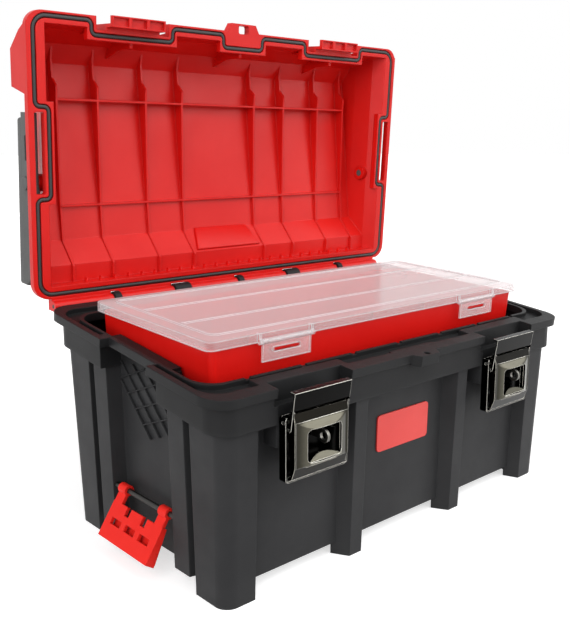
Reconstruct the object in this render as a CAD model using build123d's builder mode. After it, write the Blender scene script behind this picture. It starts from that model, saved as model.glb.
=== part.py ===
import os
from math import atan2, cos, radians, sin, tan

from build123d import *

os.makedirs("parts", exist_ok=True)

# Shared sizes and fits
wall = 3.0                  # moulded wall of the tub and the lid
cut_over = 30.0             # overrun of every through cut
pin_clearance = 0.05        # radial room of a turning piece on its pin
side_clearance = 0.5        # room between pieces that turn side by side

# Rim of the base: its plane rises to the back
rim_length = 486.0
rim_depth = 268.0
rim_front_height = 182.0
rim_back_height = 216.0
rim_thickness = 8.0
rim_corner = 22.0
lip_end_inset = 11.0
lip_half_length = rim_length / 2 - lip_end_inset
lip_side_inset = 29.0
lip_half_depth = rim_depth / 2 - lip_side_inset
lip_width = 3.0
lip_notch_width = 6.0
lip_notch_depth = 1.6
lip_notch_share = 0.1336
lip_notch_pitch = 2 * lip_notch_share * lip_half_length
lip_notches = 7
channel_depth = 5.0
band_end_inset = 6.0
band_half_length = rim_length / 2 - band_end_inset
band_side_inset = 13.0
band_half_depth = rim_depth / 2 - band_side_inset

rim_angle = atan2(rim_back_height - rim_front_height, rim_depth)
rim_rise = sin(rim_angle)
rim_run = cos(rim_angle)
rim_middle_height = (rim_front_height + rim_back_height) / 2
rim_plane = Plane(origin=(0, 0, rim_middle_height), x_dir=(1, 0, 0), z_dir=(0, -rim_rise, rim_run))

# Walls, collar and pillars of the base
panel_end_inset = 28.0
panel_half_length = rim_length / 2 - panel_end_inset
panel_side_inset = 22.5
panel_half_depth = rim_depth / 2 - panel_side_inset
panel_corner = 12.0
panel_draft = 1.0
panel_bottom = 12.0
collar_end_inset = 7.0
collar_half_length = rim_length / 2 - collar_end_inset
collar_side_inset = 5.0
collar_half_depth = rim_depth / 2 - collar_side_inset
collar_corner = 20.0
collar_depth = 32.0
pillar_low_rise = 8.0
pillar_reach_low = panel_half_depth + pillar_low_rise
pillar_high_rise = 16.0
pillar_reach_high = panel_half_depth + pillar_high_rise
end_low_rise = 10.0
end_reach_low = panel_half_length + end_low_rise
end_high_rise = 15.0
end_reach_high = panel_half_length + end_high_rise
pillar_root = 8.0
pillar_face = 15.5
pillar_base = 33.0
inner_pillar_share = 0.342
inner_pillar_place = inner_pillar_share * panel_half_length
outer_pillar_inset = 13.0
outer_pillar_place = panel_half_length - outer_pillar_inset
outer_pillar_face = 17.0
outer_pillar_base = 29.0
end_pillar_share = 0.538
end_pillar_place = end_pillar_share * panel_half_depth
end_pillar_face = 22.0
end_pillar_base = 30.0
column_start_share = 0.7175
column_start = column_start_share * panel_half_depth
column_front_inset = 5.0
column_front_start = panel_half_length - column_front_inset
column_corner = 14.0
column_corner_share = 0.85
column_lap = 12.0
grip_share = 0.4036
grip_half_width = grip_share * panel_half_depth
tail_slot_inset = 9.5
tail_slot_start = rim_length / 2 - tail_slot_inset
ledge_width = 20.0
ledge_place = 26.0
ledge_reach = 8.0
ledge_height = 9.0

# Lid: outline along the rim, depth behind the rim plane
lid_overlap = 14.0
lid_length = rim_length + lid_overlap
lid_depth = rim_depth
lid_corner = 16.0
lid_gap = 1.0
lid_back_inset = 1.0
lid_back_reach = rim_depth / 2 - lid_back_inset
lid_open_angle = 93.8
flange_thickness = 7.0
lid_end_inset = 15.0
lid_end_rim = lid_length / 2 - lid_end_inset
lid_end_mid_lean = 7.5
lid_end_mid = lid_end_rim - lid_end_mid_lean
lid_end_mid_depth = 15.0
lid_end_deep_lean = 14.0
lid_end_deep = lid_end_rim - lid_end_deep_lean
lid_end_deep_depth = 38.0
lid_end_top_lean = 24.0
lid_end_top = lid_end_rim - lid_end_top_lean
lid_hinge_wall = 9.0
lid_step_depth = 18.0
lid_step_end = 28.0
lid_slope_end = 50.0
lid_slope_depth = 39.4
lid_crown_inset = 42.0
lid_crown_end = lid_depth - lid_crown_inset
lid_crown_depth = 61.7
lid_brow_inset = 22.0
lid_brow_end = lid_depth - lid_brow_inset
lid_brow_depth = 50.0
lid_face_inset = 10.5
lid_face_end = lid_depth - lid_face_inset
lid_face_depth = 24.0
lid_front_inset = 8.0
lid_front_wall = lid_depth - lid_front_inset
bulge_start_inset = 76.0
bulge_start = lid_depth - bulge_start_inset
bulge_end_inset = 18.0
bulge_end = lid_depth - bulge_end_inset
bulge_depth = 34.0
bulge_slope = 16.0
bulge_heel = 8.0
bulge_brow_share = 0.45
fin_thickness = 2.2
fin_place_shares = (0.244, 0.4645, 0.737, 0.9526)
fin_places = tuple(share * lid_end_top for share in fin_place_shares)
fin_foot = 3.0
fin_low = 83.0
fin_low_depth = 37.0
fin_high_inset = 77.0
fin_high = lid_depth - fin_high_inset
fin_high_depth = 41.0
fin_peak_inset = 65.0
fin_peak = lid_depth - fin_peak_inset
fin_peak_depth = 40.5
fin_dip_inset = 58.0
fin_dip = lid_depth - fin_dip_inset
fin_dip_depth = 48.5
fin_end_inset = 40.0
fin_end = lid_depth - fin_end_inset
fin_end_depth = 51.0
cross_fin_low = 85.0
cross_fin_inset = 78.0
cross_fin_places = (cross_fin_low, lid_depth - cross_fin_inset)
cross_fin_depths = (36.5, 41.0)
window_start_inset = 32.0
window_start = lid_depth / 2 - window_start_inset
window_end_reach = 44.0
window_end = lid_depth / 2 + window_end_reach
window_width = 9.8
window_outer_inset = 5.6
window_outer = lid_length / 2 - window_outer_inset
window_inner = window_outer - window_width
window_corner = 2.0
tail_slot_room = 1.0
tail_slot_short = 3.0
tail_slot_back = lid_back_reach - window_start + tail_slot_room
tail_slot_front = window_end - lid_back_reach - tail_slot_short

# Seal cord of the lid
seal_width = 5.0
seal_proud = 0.7
seal_groove = 4.0
seal_end_inset = 7.0
seal_end_place = lid_length / 2 - seal_end_inset
seal_hinge_place = 4.4
seal_front_inset = 4.4
seal_front_place = lid_depth - seal_front_inset
seal_strike_inset = 17.5
seal_strike_place = lid_depth - seal_strike_inset
seal_strike_half = 46.0
seal_eye_inset = 17.5
seal_eye_place = lid_depth - seal_eye_inset
seal_eye_half = 27.0
seal_window_inset = 5.1
seal_window_place = window_inner - seal_window_inset
seal_window_room = 5.0
seal_turn = 5.0
seal_corner = 13.0
seal_land = 2.2

# Strikes and lock eyes
latch_end_inset = 105.0
latch_place = rim_length / 2 - latch_end_inset
strike_notch_half = 41.0
strike_half = 30.0
strike_notch_inset = 12.5
strike_notch_floor = lid_depth - strike_notch_inset
strike_bar_reach = 1.0
strike_bar_front = lid_depth + strike_bar_reach
strike_bar_inset = 6.0
strike_bar_back = lid_depth - strike_bar_inset
strike_bar_low = 10.8
strike_bar_high = 6.8
strike_notch_depth = 26.0
strike_pockets = 3
strike_pocket_width = 16.5
strike_pocket_height = 7.6
strike_pocket_depth = 3.0
strike_rim_room = 3.0
lid_eye_half = 21.5
lid_eye_rise = 8.5
lid_eye_top = lid_depth + lid_eye_rise
lid_eye_thickness = 8.0
lid_eye_slope = 5.0
eye_hole = 6.0
lid_eye_slot = 14.0
lid_eye_slot_height = 8.4
lid_eye_slot_rise = 2.4
base_eye_half = 17.5
base_eye_rise = 8.0
base_eye_reach = rim_depth / 2 + base_eye_rise
base_eye_thickness = 10.0
base_eye_slope = 5.0
eye_hole_rise = 3.0
eye_hole_reach = rim_depth / 2 + eye_hole_rise

# Hinge of the lid
hinge_axis_rise = 6.4
hinge_reach = rim_depth / 2 + hinge_axis_rise
hinge_axis_drop = 1.0
hinge_height = rim_back_height - hinge_axis_drop
hinge_pin_radius = 2.0
hinge_barrel_radius = 5.0
hinge_places = (-rim_length / 3, 0.0, rim_length / 3)
hinge_lug_share = 0.288
hinge_lug_width = hinge_lug_share * rim_length
knuckle_width = 8.0
knuckle_root_inset = 3.0
knuckle_root = rim_depth / 2 - knuckle_root_inset
knuckle_drop = 7.0

# Carry handle
handle_pivot_inset = 9.0
handle_pivot_place = window_start + handle_pivot_inset
handle_pivot_depth = 22.0
tail_room = 0.75
handle_inner = window_inner + tail_room
handle_outer = window_outer - tail_room
handle_arm_half = 11.5
handle_tail_room = 1.0
handle_tail_end = window_end - handle_tail_room
handle_tail_half = 8.3
handle_boss_radius = 8.5
handle_bar_place = 21.0
handle_bar_depth = 29.5
handle_bar_radius = 9.5
handle_pin_radius = 4.0
handle_pin_head = 6.5
handle_pin_head_thickness = 2.0
handle_slot_length = 24.0
handle_slot_width = 4.0
handle_slot_depth = 2.0

# Latches
latch_step_inset = 14.5
latch_step_reach = rim_depth / 2 - latch_step_inset
latch_step_half = 42.0
latch_step_drop = 16.0
latch_step_floor = rim_front_height - latch_step_drop
latch_pad_inset = 7.0
latch_pad_reach = rim_depth / 2 - latch_pad_inset
latch_pad_half = 38.0
latch_pad_drop = 52.0
latch_pad_bottom = rim_front_height - latch_pad_drop
plate_half = 35.5
plate_bottom_drop = 81.0
plate_bottom = rim_front_height - plate_bottom_drop
plate_top_drop = 25.0
plate_top = rim_front_height - plate_top_drop
plate_sheet = 1.5
plate_wall_rise = 8.0
plate_wall_reach = latch_pad_reach + plate_wall_rise
plate_corner = 3.0
lever_half = 30.5
lever_sheet = 1.6
lever_top_drop = 22.0
lever_top = rim_front_height - lever_top_drop
lever_bottom_drop = 78.5
lever_bottom = rim_front_height - lever_bottom_drop
lever_face_rise = 13.5
lever_reach = latch_pad_reach + lever_face_rise
lever_toe_rise = 9.5
lever_toe_reach = latch_pad_reach + lever_toe_rise
lever_heel_rise = 7.5
lever_toe_back = latch_pad_reach + lever_heel_rise
lever_knee_drop = 68.0
lever_knee_height = rim_front_height - lever_knee_drop
lever_brow_drop = 30.0
lever_brow_height = rim_front_height - lever_brow_drop
lever_brow_rise = 11.5
lever_brow_reach = latch_pad_reach + lever_brow_rise
lever_back_rise = 3.0
lever_back_reach = latch_pad_reach + lever_back_rise
lever_ridge_rise = 8.0
lever_ridge_reach = latch_pad_reach + lever_ridge_rise
lever_shoulder_drop = 29.0
lever_shoulder_height = rim_front_height - lever_shoulder_drop
lever_back_drop = 36.0
lever_back_height = rim_front_height - lever_back_drop
lever_waist_rise = 8.0
lever_waist_reach = latch_pad_reach + lever_waist_rise
lever_waist_drop = 64.0
lever_waist_height = rim_front_height - lever_waist_drop
window_half = 20.5
window_round = 5.0
window_bottom_drop = 70.0
window_bottom = rim_front_height - window_bottom_drop
window_top_drop = 37.0
window_top = rim_front_height - window_top_drop
lever_pin_rise = 5.0
lever_pin_reach = latch_pad_reach + lever_pin_rise
lever_pin_drop = 30.0
lever_pin_height = rim_front_height - lever_pin_drop
lever_pin_radius = 1.6
hook_pin_rise = 7.0
hook_pin_reach = latch_pad_reach + hook_pin_rise
hook_pin_drop = 36.0
hook_pin_height = rim_front_height - hook_pin_drop
hook_pin_radius = 1.4
hook_half = 32.3
hook_sheet = 1.5
hook_front = 3.6
hook_arm_width = 3.0
hook_eye_radius = 2.9
hook_plate_low = 15.5
hook_plate_high = 32.7
hook_lip_reach = 1.9
hook_rest_angle = 9.0
staple_sheet = 2.6
staple_ring = 6.0
staple_hole = 3.3
staple_rise = 15.5
staple_reach = latch_pad_reach + staple_rise
staple_drop = 46.0
staple_height = rim_front_height - staple_drop
staple_neck = 3.0
rivet_radius = 2.0
rivet_head = 3.6
rivet_head_height = 1.2
rivet_half_pitch = 24.0
rivet_drops = (44.0, 35.0)
rivet_heights = tuple(rim_front_height - drop for drop in rivet_drops)

# Stacking clips
clip_pivot_rise = 7.0
clip_pivot_place = panel_half_length + clip_pivot_rise
clip_pivot_lift = 45.0
clip_pivot_height = panel_bottom + clip_pivot_lift
clip_pin_radius = 2.5
clip_barrel_radius = 5.0
clip_pin_inset = 8.987
clip_pin_half = end_pillar_place - clip_pin_inset
clip_rest_angle = 33.0
clip_half_width = 40.0
clip_length = 47.0
clip_sheet = 3.5
clip_arm_width = 12.0
clip_arm_length = 13.0
clip_arm_place = 33.0
clip_flange_depth = 8.0
clip_flange = 3.0
clip_slot_width = 16.0
clip_slot_height = 6.0
clip_slot_place = 30.0
clip_slot_pitch = 23.0
clip_slots = 3
clip_notch_width = 7.0
clip_notch_height = 8.0
clip_notch_pitch = 26.0

# Organiser
organiser_front_inset = 43.0
organiser_front = rim_depth / 2 - organiser_front_inset
organiser_back_inset = 46.0
organiser_back = rim_depth / 2 - organiser_back_inset
organiser_front_lift = 27.0
organiser_front_height = rim_front_height + organiser_front_lift
organiser_back_lift = 1.5
organiser_back_height = rim_back_height + organiser_back_lift
organiser_lid_height = 9.0
organiser_lid_sheet = 2.0
organiser_lid_corner = 8.0
organiser_border = 12.0
organiser_border_height = 1.4
organiser_border_width = 3.0
tray_end_room = 5.0
tray_half_length = panel_half_length - tray_end_room
organiser_overlap = 6.0
organiser_half_length = tray_half_length + organiser_overlap
tray_side_room = 3.0
tray_depth = 44.0
tray_wall = 2.0
tray_draft = 3.0
tray_corner = 7.0
tray_lid_gap = 0.3
divider_sheet = 1.8
divider_places_share = (-0.6, -0.2, 0.2, 0.6)
divider_room = 0.4
tray_row_share = 0.34
divider_drop = 2.0
tab_place_share = 0.625
tab_place = tab_place_share * organiser_half_length
tab_width = 55.0
tab_length = 18.0
tab_sheet = 2.2
tab_rod_radius = 1.2
tab_barrel_radius = 2.4
tab_slot_width = 30.0
tab_slot_height = 3.5
tab_slot_drop = 8.5
tab_axis_height = 1.5
tab_catch_height = 2.4
tab_catch_room = 1.0
tab_ear = 3.0
tray_hinge_share = 0.5556
tray_hinge_place = tray_hinge_share * organiser_half_length
tray_hinge_places = (-tray_hinge_place, tray_hinge_place)
tray_hinge_width = 40.0
tray_knuckle_width = 14.0
tray_pin_radius = 1.2
tray_barrel_radius = 3.0
tray_hinge_room = 0.6
tray_axis_height = 1.0
tray_web_height = 8.0

# Badge plate
badge_width = 74.0
badge_height = 36.0
badge_thickness = 1.5
badge_corner = 4.0
badge_height_share = 0.5714
badge_centre_height = badge_height_share * rim_front_height


# Base tub
# A plan outline turned to face front, left, back or right: u runs along the side, reach points outwards.
def side_plane(turn, height):
    return Plane(
        origin=(0, 0, height),
        x_dir=(cos(radians(turn)), sin(radians(turn)), 0),
        z_dir=(0, 0, 1),
    )


def outline(plane, points):
    with BuildSketch(plane) as face:
        with BuildLine():
            Polyline(*points, close=True)
        make_face()
    return face.sketch


def pillar(turn, place, face_width, base_width, root, reach_low, reach_high, low, shrink):
    # one hollow rib of the wall, with slanted flanks and a drafted front
    high = rim_back_height
    base_half = base_width / 2 - shrink
    face_half = face_width / 2 - shrink
    with BuildPart() as rib:
        for height, reach in ((low, reach_low), (high, reach_high)):
            points = (
                (place - base_half, -root + shrink),
                (place - base_half, -root),
                (place - face_half, -reach + shrink),
                (place + face_half, -reach + shrink),
                (place + base_half, -root),
                (place + base_half, -root + shrink),
            )
            if shrink == 0:
                points = (points[1], points[2], points[3], points[4])
            add(outline(side_plane(turn, height), points))
        loft()
        split(bisect_by=rim_plane.offset(-collar_depth + wall), keep=Keep.BOTTOM)
    return rib.part


def column(x_side, y_side, low, shrink):
    # rounded corner of the walls
    lap = column_lap + shrink
    start = column_start + shrink
    front = column_front_start + shrink
    with BuildPart() as post:
        for height, x_reach, y_reach in (
            (low, end_reach_low, pillar_reach_low),
            (rim_back_height, end_reach_high, pillar_reach_high),
        ):
            x_out = x_reach - shrink
            y_out = y_reach - shrink
            x_in = panel_half_length - lap
            y_in = panel_half_depth - lap
            with BuildSketch(Plane.XY.offset(height)):
                with BuildLine():
                    Polyline(
                        (x_side * x_in, y_side * start),
                        (x_side * x_out, y_side * start),
                        (x_side * x_out, y_side * y_out),
                        (x_side * front, y_side * y_out),
                        (x_side * front, y_side * y_in),
                        (x_side * x_in, y_side * y_in),
                        close=True,
                    )
                face = make_face()
                corner = face.vertices().sort_by_distance((x_side * x_out, y_side * y_out, 0))[0]
                fillet(corner, min(column_corner, column_corner_share * (x_out - front)))
        loft()
        split(bisect_by=rim_plane.offset(-collar_depth + wall), keep=Keep.BOTTOM)
    return post.part


def rim_block(half_length, half_depth, corner, low_drop, high_drop):
    # upright block whose top and bottom follow the rim
    with BuildPart() as block:
        with BuildSketch(Plane.XY):
            RectangleRounded(2 * half_length, 2 * half_depth, corner)
        extrude(amount=rim_back_height + cut_over)
        split(bisect_by=rim_plane.offset(-high_drop), keep=Keep.BOTTOM)
        split(bisect_by=rim_plane.offset(-low_drop), keep=Keep.TOP)
    return block.part


def drafted_box(inset, low):
    # walls between the pillars, drafted towards the floor
    with BuildPart() as box:
        with BuildSketch(Plane.XY.offset(rim_back_height)):
            RectangleRounded(
                2 * (panel_half_length - inset), 2 * (panel_half_depth - inset), panel_corner - inset
            )
        extrude(amount=rim_back_height - low, dir=(0, 0, -1), taper=panel_draft)
        split(bisect_by=rim_plane.offset(-rim_thickness), keep=Keep.BOTTOM)
    return box.part


def panel_reach(height):
    return panel_half_depth - (rim_back_height - height) * tan(radians(panel_draft))


def block(x_low, x_high, y_low, y_high, z_low, z_high):
    with BuildPart() as solid:
        with BuildSketch(Plane.XY.offset(z_low)):
            with Locations(((x_low + x_high) / 2, (y_low + y_high) / 2)):
                Rectangle(x_high - x_low, y_high - y_low)
        extrude(amount=z_high - z_low)
    return solid.part


def wall_ribs(low, shrink):
    # all pillars and corner columns, grown or shrunk by the wall
    pieces = []
    for turn in (0, 180):
        for side in (-1, 1):
            pieces.append(
                pillar(turn, side * inner_pillar_place, pillar_face, pillar_base,
                       panel_half_depth - pillar_root, pillar_reach_low, pillar_reach_high, low, shrink)
            )
            pieces.append(
                pillar(turn, side * outer_pillar_place, outer_pillar_face, outer_pillar_base,
                       panel_half_depth - pillar_root, pillar_reach_low, pillar_reach_high, low, shrink)
            )
    for turn in (-90, 90):
        for side in (-1, 1):
            pieces.append(
                pillar(turn, side * end_pillar_place, end_pillar_face, end_pillar_base,
                       panel_half_length - pillar_root, end_reach_low, end_reach_high,
                       low + panel_bottom, shrink)
            )
    for x_side in (-1, 1):
        for y_side in (-1, 1):
            pieces.append(column(x_side, y_side, low, shrink))
    return pieces


rivet_spots = [
    (side * latch_place + step * rivet_half_pitch, height)
    for side in (-1, 1)
    for step in (-1, 1)
    for height in rivet_heights
]
rim_depth_on_slope = rim_depth / rim_run

# The lift-out tray sits at its own angle on four ledges
organiser_angle = atan2(organiser_back_height - organiser_front_height, organiser_front + organiser_back)
organiser_middle_height = (organiser_front_height + organiser_back_height) / 2
organiser_plane = Plane(
    origin=(0, (organiser_back - organiser_front) / 2, organiser_middle_height),
    x_dir=(1, 0, 0),
    z_dir=(0, -sin(organiser_angle), cos(organiser_angle)),
)
organiser_half_depth = (organiser_front + organiser_back) / 2 / cos(organiser_angle)

with BuildPart() as collar:
    add(rim_block(collar_half_length, collar_half_depth, collar_corner, collar_depth, rim_thickness / 2))
    for side in (-1, 1):
        grip_start = min(side * (panel_half_length - wall), side * (collar_half_length + cut_over))
        grip_end = max(side * (panel_half_length - wall), side * (collar_half_length + cut_over))
        add(
            block(grip_start, grip_end, -grip_half_width, grip_half_width, 0, rim_back_height + cut_over),
            mode=Mode.SUBTRACT,
        )

with BuildPart() as collar_hollow:
    add(rim_block(collar_half_length - wall, collar_half_depth - wall, collar_corner - wall,
                  collar_depth - wall, rim_thickness))
    for side in (-1, 1):
        grip_start = min(side * (panel_half_length - wall), side * (collar_half_length + cut_over))
        grip_end = max(side * (panel_half_length - wall), side * (collar_half_length + cut_over))
        grip_side = grip_half_width + wall
        add(
            block(grip_start, grip_end, -grip_side, grip_side, 0, rim_back_height + cut_over),
            mode=Mode.SUBTRACT,
        )
        step_half = latch_step_half + wall
        add(
            block(side * latch_place - step_half, side * latch_place + step_half,
                  -collar_half_depth - cut_over, -latch_step_reach + wall,
                  latch_step_floor - wall, rim_back_height + cut_over),
            mode=Mode.SUBTRACT,
        )
        recess_half = latch_pad_half + wall
        add(
            block(side * latch_place - recess_half, side * latch_place + recess_half,
                  -collar_half_depth - cut_over, -latch_pad_reach + wall, 0, latch_step_floor),
            mode=Mode.SUBTRACT,
        )

with BuildPart() as base_tub:
    add(drafted_box(0, panel_bottom))
    for piece in wall_ribs(0, 0):
        add(piece)
    add(collar.part)
    for side in (-1, 1):
        add(
            block(side * latch_place - latch_pad_half, side * latch_place + latch_pad_half,
                  -latch_pad_reach, -panel_half_depth + pillar_root, latch_pad_bottom, latch_step_floor)
        )
    # hollow of the walls, the pillars and the collar
    add(drafted_box(wall, panel_bottom + wall), mode=Mode.SUBTRACT)
    for piece in wall_ribs(wall, wall):
        add(piece, mode=Mode.SUBTRACT)
    add(collar_hollow.part, mode=Mode.SUBTRACT)
    for side in (-1, 1):
        pad_half = latch_pad_half - wall
        add(
            block(side * latch_place - pad_half, side * latch_place + pad_half,
                  -latch_pad_reach + wall, -panel_half_depth + pillar_root,
                  latch_pad_bottom + wall, latch_step_floor - wall),
            mode=Mode.SUBTRACT,
        )
    # inclined rim with its sealing lip and channel
    with BuildSketch(rim_plane):
        RectangleRounded(rim_length, rim_depth_on_slope, rim_corner)
    extrude(amount=-rim_thickness)
    with BuildSketch(rim_plane) as rim_opening:
        Rectangle(2 * (lip_half_length - lip_width), 2 * (lip_half_depth - lip_width))
        fillet(rim_opening.vertices(), rim_corner)
    extrude(amount=-channel_depth, mode=Mode.SUBTRACT)
    with BuildSketch(rim_plane.offset(-channel_depth)) as lower_opening:
        Rectangle(2 * (lip_half_length - lip_width), 2 * (lip_half_depth - lip_width))
        fillet(lower_opening.vertices(), rim_corner)
        for side in (-1, 1):
            with Locations((side * panel_half_length, 0)):
                Rectangle(2 * wall, 2 * (grip_half_width + wall), mode=Mode.SUBTRACT)
            with Locations((side * (panel_half_length + lip_half_length) / 2, 0)):
                Rectangle(lip_half_length - panel_half_length, 2 * (grip_half_width + wall),
                          mode=Mode.SUBTRACT)
    extrude(amount=-rim_thickness + channel_depth, mode=Mode.SUBTRACT)
    with BuildSketch(rim_plane) as channel:
        Rectangle(2 * band_half_length, 2 * band_half_depth)
        fillet(channel.vertices(), rim_corner - wall)
        with BuildSketch(mode=Mode.SUBTRACT) as lip_outline:
            Rectangle(2 * lip_half_length, 2 * lip_half_depth)
            fillet(lip_outline.vertices(), rim_corner)
        for side in (-1, 1):
            with Locations((side * latch_place, -band_half_depth)):
                Rectangle(2 * (latch_step_half + rim_thickness),
                          2 * (band_half_depth - lip_half_depth - wall), mode=Mode.SUBTRACT)
            with Locations((side * (lip_half_length + band_half_length) / 2, 0)):
                Rectangle(2 * (band_half_length - lip_half_length),
                          tail_slot_front + tail_slot_back + 4 * wall, mode=Mode.SUBTRACT)
        with Locations((0, -band_half_depth)):
            Rectangle(2 * seal_eye_half + 2 * wall, 2 * wall, mode=Mode.SUBTRACT)
    extrude(amount=-channel_depth, mode=Mode.SUBTRACT)
    # small notches along the lip
    with BuildSketch(rim_plane):
        with GridLocations(lip_notch_pitch, 2 * lip_half_depth - lip_width, lip_notches, 2):
            Rectangle(lip_notch_width, 2 * lip_width)
    extrude(amount=-lip_notch_depth, mode=Mode.SUBTRACT)
    # steps of the rim that the strikes come down into
    for side in (-1, 1):
        add(
            block(side * latch_place - latch_step_half, side * latch_place + latch_step_half,
                  -rim_depth / 2 - cut_over, -latch_step_reach, latch_step_floor, rim_back_height),
            mode=Mode.SUBTRACT,
        )
        add(
            block(side * latch_place - latch_pad_half, side * latch_place + latch_pad_half,
                  -collar_half_depth - cut_over, -latch_pad_reach, 0, latch_step_floor),
            mode=Mode.SUBTRACT,
        )
    # slots in the end rims for the tails of the raised handle
    with BuildSketch(rim_plane):
        for side in (-1, 1):
            slot_outer = rim_length / 2 + cut_over
            with Locations((side * (tail_slot_start + slot_outer) / 2,
                            (tail_slot_back - tail_slot_front) / 2)):
                Rectangle(slot_outer - tail_slot_start, tail_slot_front + tail_slot_back)
    extrude(amount=-rim_thickness - wall, mode=Mode.SUBTRACT)
    # lock eye
    with BuildSketch(rim_plane):
        with BuildLine():
            Polyline(
                (-base_eye_half, -rim_depth_on_slope / 2 + wall),
                (-base_eye_half, -rim_depth_on_slope / 2),
                (-base_eye_half + base_eye_slope, -base_eye_reach / rim_run),
                (base_eye_half - base_eye_slope, -base_eye_reach / rim_run),
                (base_eye_half, -rim_depth_on_slope / 2),
                (base_eye_half, -rim_depth_on_slope / 2 + wall),
                close=True,
            )
        make_face()
    extrude(amount=-base_eye_thickness)
    with BuildSketch(rim_plane):
        with Locations((0, -eye_hole_reach / rim_run)):
            Circle(eye_hole / 2)
    extrude(amount=-cut_over, mode=Mode.SUBTRACT)
    # knuckles of the lid hinge
    for place in hinge_places:
        with BuildSketch(Plane.YZ.offset(place - knuckle_width / 2)) as knuckle:
            with BuildLine():
                Polyline(
                    (knuckle_root, hinge_height - knuckle_drop),
                    (hinge_reach, hinge_height - hinge_barrel_radius),
                    (hinge_reach, hinge_height),
                    (knuckle_root, hinge_height),
                    close=True,
                )
            make_face()
            with Locations((hinge_reach, hinge_height)):
                Circle(hinge_barrel_radius)
        extrude(amount=knuckle_width)
        with BuildSketch(Plane.YZ.offset(place - knuckle_width)):
            with Locations((hinge_reach, hinge_height)):
                Circle(hinge_pin_radius)
        extrude(amount=2 * knuckle_width, mode=Mode.SUBTRACT)
    # ledges that carry the organiser
    with BuildSketch(organiser_plane.offset(-tray_depth)):
        for side in (-1, 1):
            with Locations(
                (side * (panel_half_length - wall - ledge_reach / 2), -ledge_place),
                (side * (panel_half_length - wall - ledge_reach / 2), ledge_place),
            ):
                Rectangle(ledge_reach, ledge_width)
    extrude(amount=-ledge_height)
    # bores of the clip pins in the end pillars
    for side in (-1, 1):
        with BuildSketch(Plane.XZ.offset(-clip_pin_half)):
            with Locations((side * clip_pivot_place, clip_pivot_height)):
                Circle(clip_pin_radius)
        extrude(amount=2 * clip_pin_half, mode=Mode.SUBTRACT)
    # holes of the latch rivets
    with BuildSketch(Plane.XZ.offset(latch_pad_reach)):
        with Locations(*rivet_spots):
            Circle(rivet_radius)
    extrude(amount=-wall, mode=Mode.SUBTRACT)
base_tub.part.label = "base_tub"
export_step(base_tub.part, "parts/base_tub.step")


# Lid shell
# Built on the lid's own plane: x along the case, distance from the hinge edge, depth behind the rim.
lid_back_height = rim_middle_height + lid_back_reach * tan(rim_angle) + lid_gap / rim_run
hinge_point = Vector(0, hinge_reach, hinge_height)
closed_origin = Vector(0, lid_back_reach, lid_back_height)
closed_normal = Vector(0, rim_rise, -rim_run)
lid_origin = hinge_point + (closed_origin - hinge_point).rotate(Axis.X, -lid_open_angle)
lid_plane = Plane(origin=lid_origin, x_dir=(1, 0, 0), z_dir=closed_normal.rotate(Axis.X, -lid_open_angle))
hinge_local = lid_plane.to_local_coords(hinge_point)


def lid_side(x):
    return Plane(origin=lid_origin + Vector(x, 0, 0), x_dir=lid_plane.y_dir, z_dir=(1, 0, 0))


def lid_cross(place):
    return Plane(origin=lid_origin + lid_plane.y_dir * place, x_dir=(1, 0, 0), z_dir=-lid_plane.y_dir)


def lid_block(x_low, x_high, place_low, place_high, depth_low, depth_high):
    with BuildPart() as solid:
        with BuildSketch(lid_plane.offset(-depth_low)):
            with Locations(((x_low + x_high) / 2, (place_low + place_high) / 2)):
                Rectangle(x_high - x_low, place_high - place_low)
        extrude(amount=depth_low - depth_high)
    return solid.part


def lid_body(inset, overrun):
    # wedge with slanted ends: the section across the lid meets the section along it
    slope_shift = inset * (sqrt_two - 1)
    deep = lid_crown_depth + cut_over
    mouth_levels = (overrun, 0) if overrun else (0,)
    cross = tuple((lid_end_rim - inset, level) for level in mouth_levels)
    cross = cross + (
        (lid_end_mid - inset, -lid_end_mid_depth),
        (lid_end_deep - inset, -lid_end_deep_depth),
        (lid_end_top - inset, -deep),
    )
    cross = cross + tuple((-x, y) for x, y in reversed(cross))
    along = (
        (lid_hinge_wall + inset, overrun),
        (lid_hinge_wall + inset, inset - lid_step_depth),
        (lid_step_end + slope_shift, inset - lid_step_depth),
        (lid_slope_end + slope_shift, inset - lid_slope_depth),
        (lid_crown_end - inset / 2, inset - lid_crown_depth),
        (lid_brow_end - inset, inset - lid_brow_depth),
        (lid_face_end - inset, inset / 2 - lid_face_depth),
    )
    along = along + tuple((lid_front_wall - inset, level) for level in reversed(mouth_levels))
    with BuildPart() as body:
        add(outline(lid_cross(0), cross))
        extrude(amount=lid_depth, dir=lid_plane.y_dir)
        add(outline(lid_side(-lid_length / 2), along))
        extrude(amount=lid_length, dir=(1, 0, 0), mode=Mode.INTERSECT)
    return body.part


def crown_depth(place):
    share = (place - lid_slope_end) / (lid_crown_end - lid_slope_end)
    return lid_slope_depth + share * (lid_crown_depth - lid_slope_depth)


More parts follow.
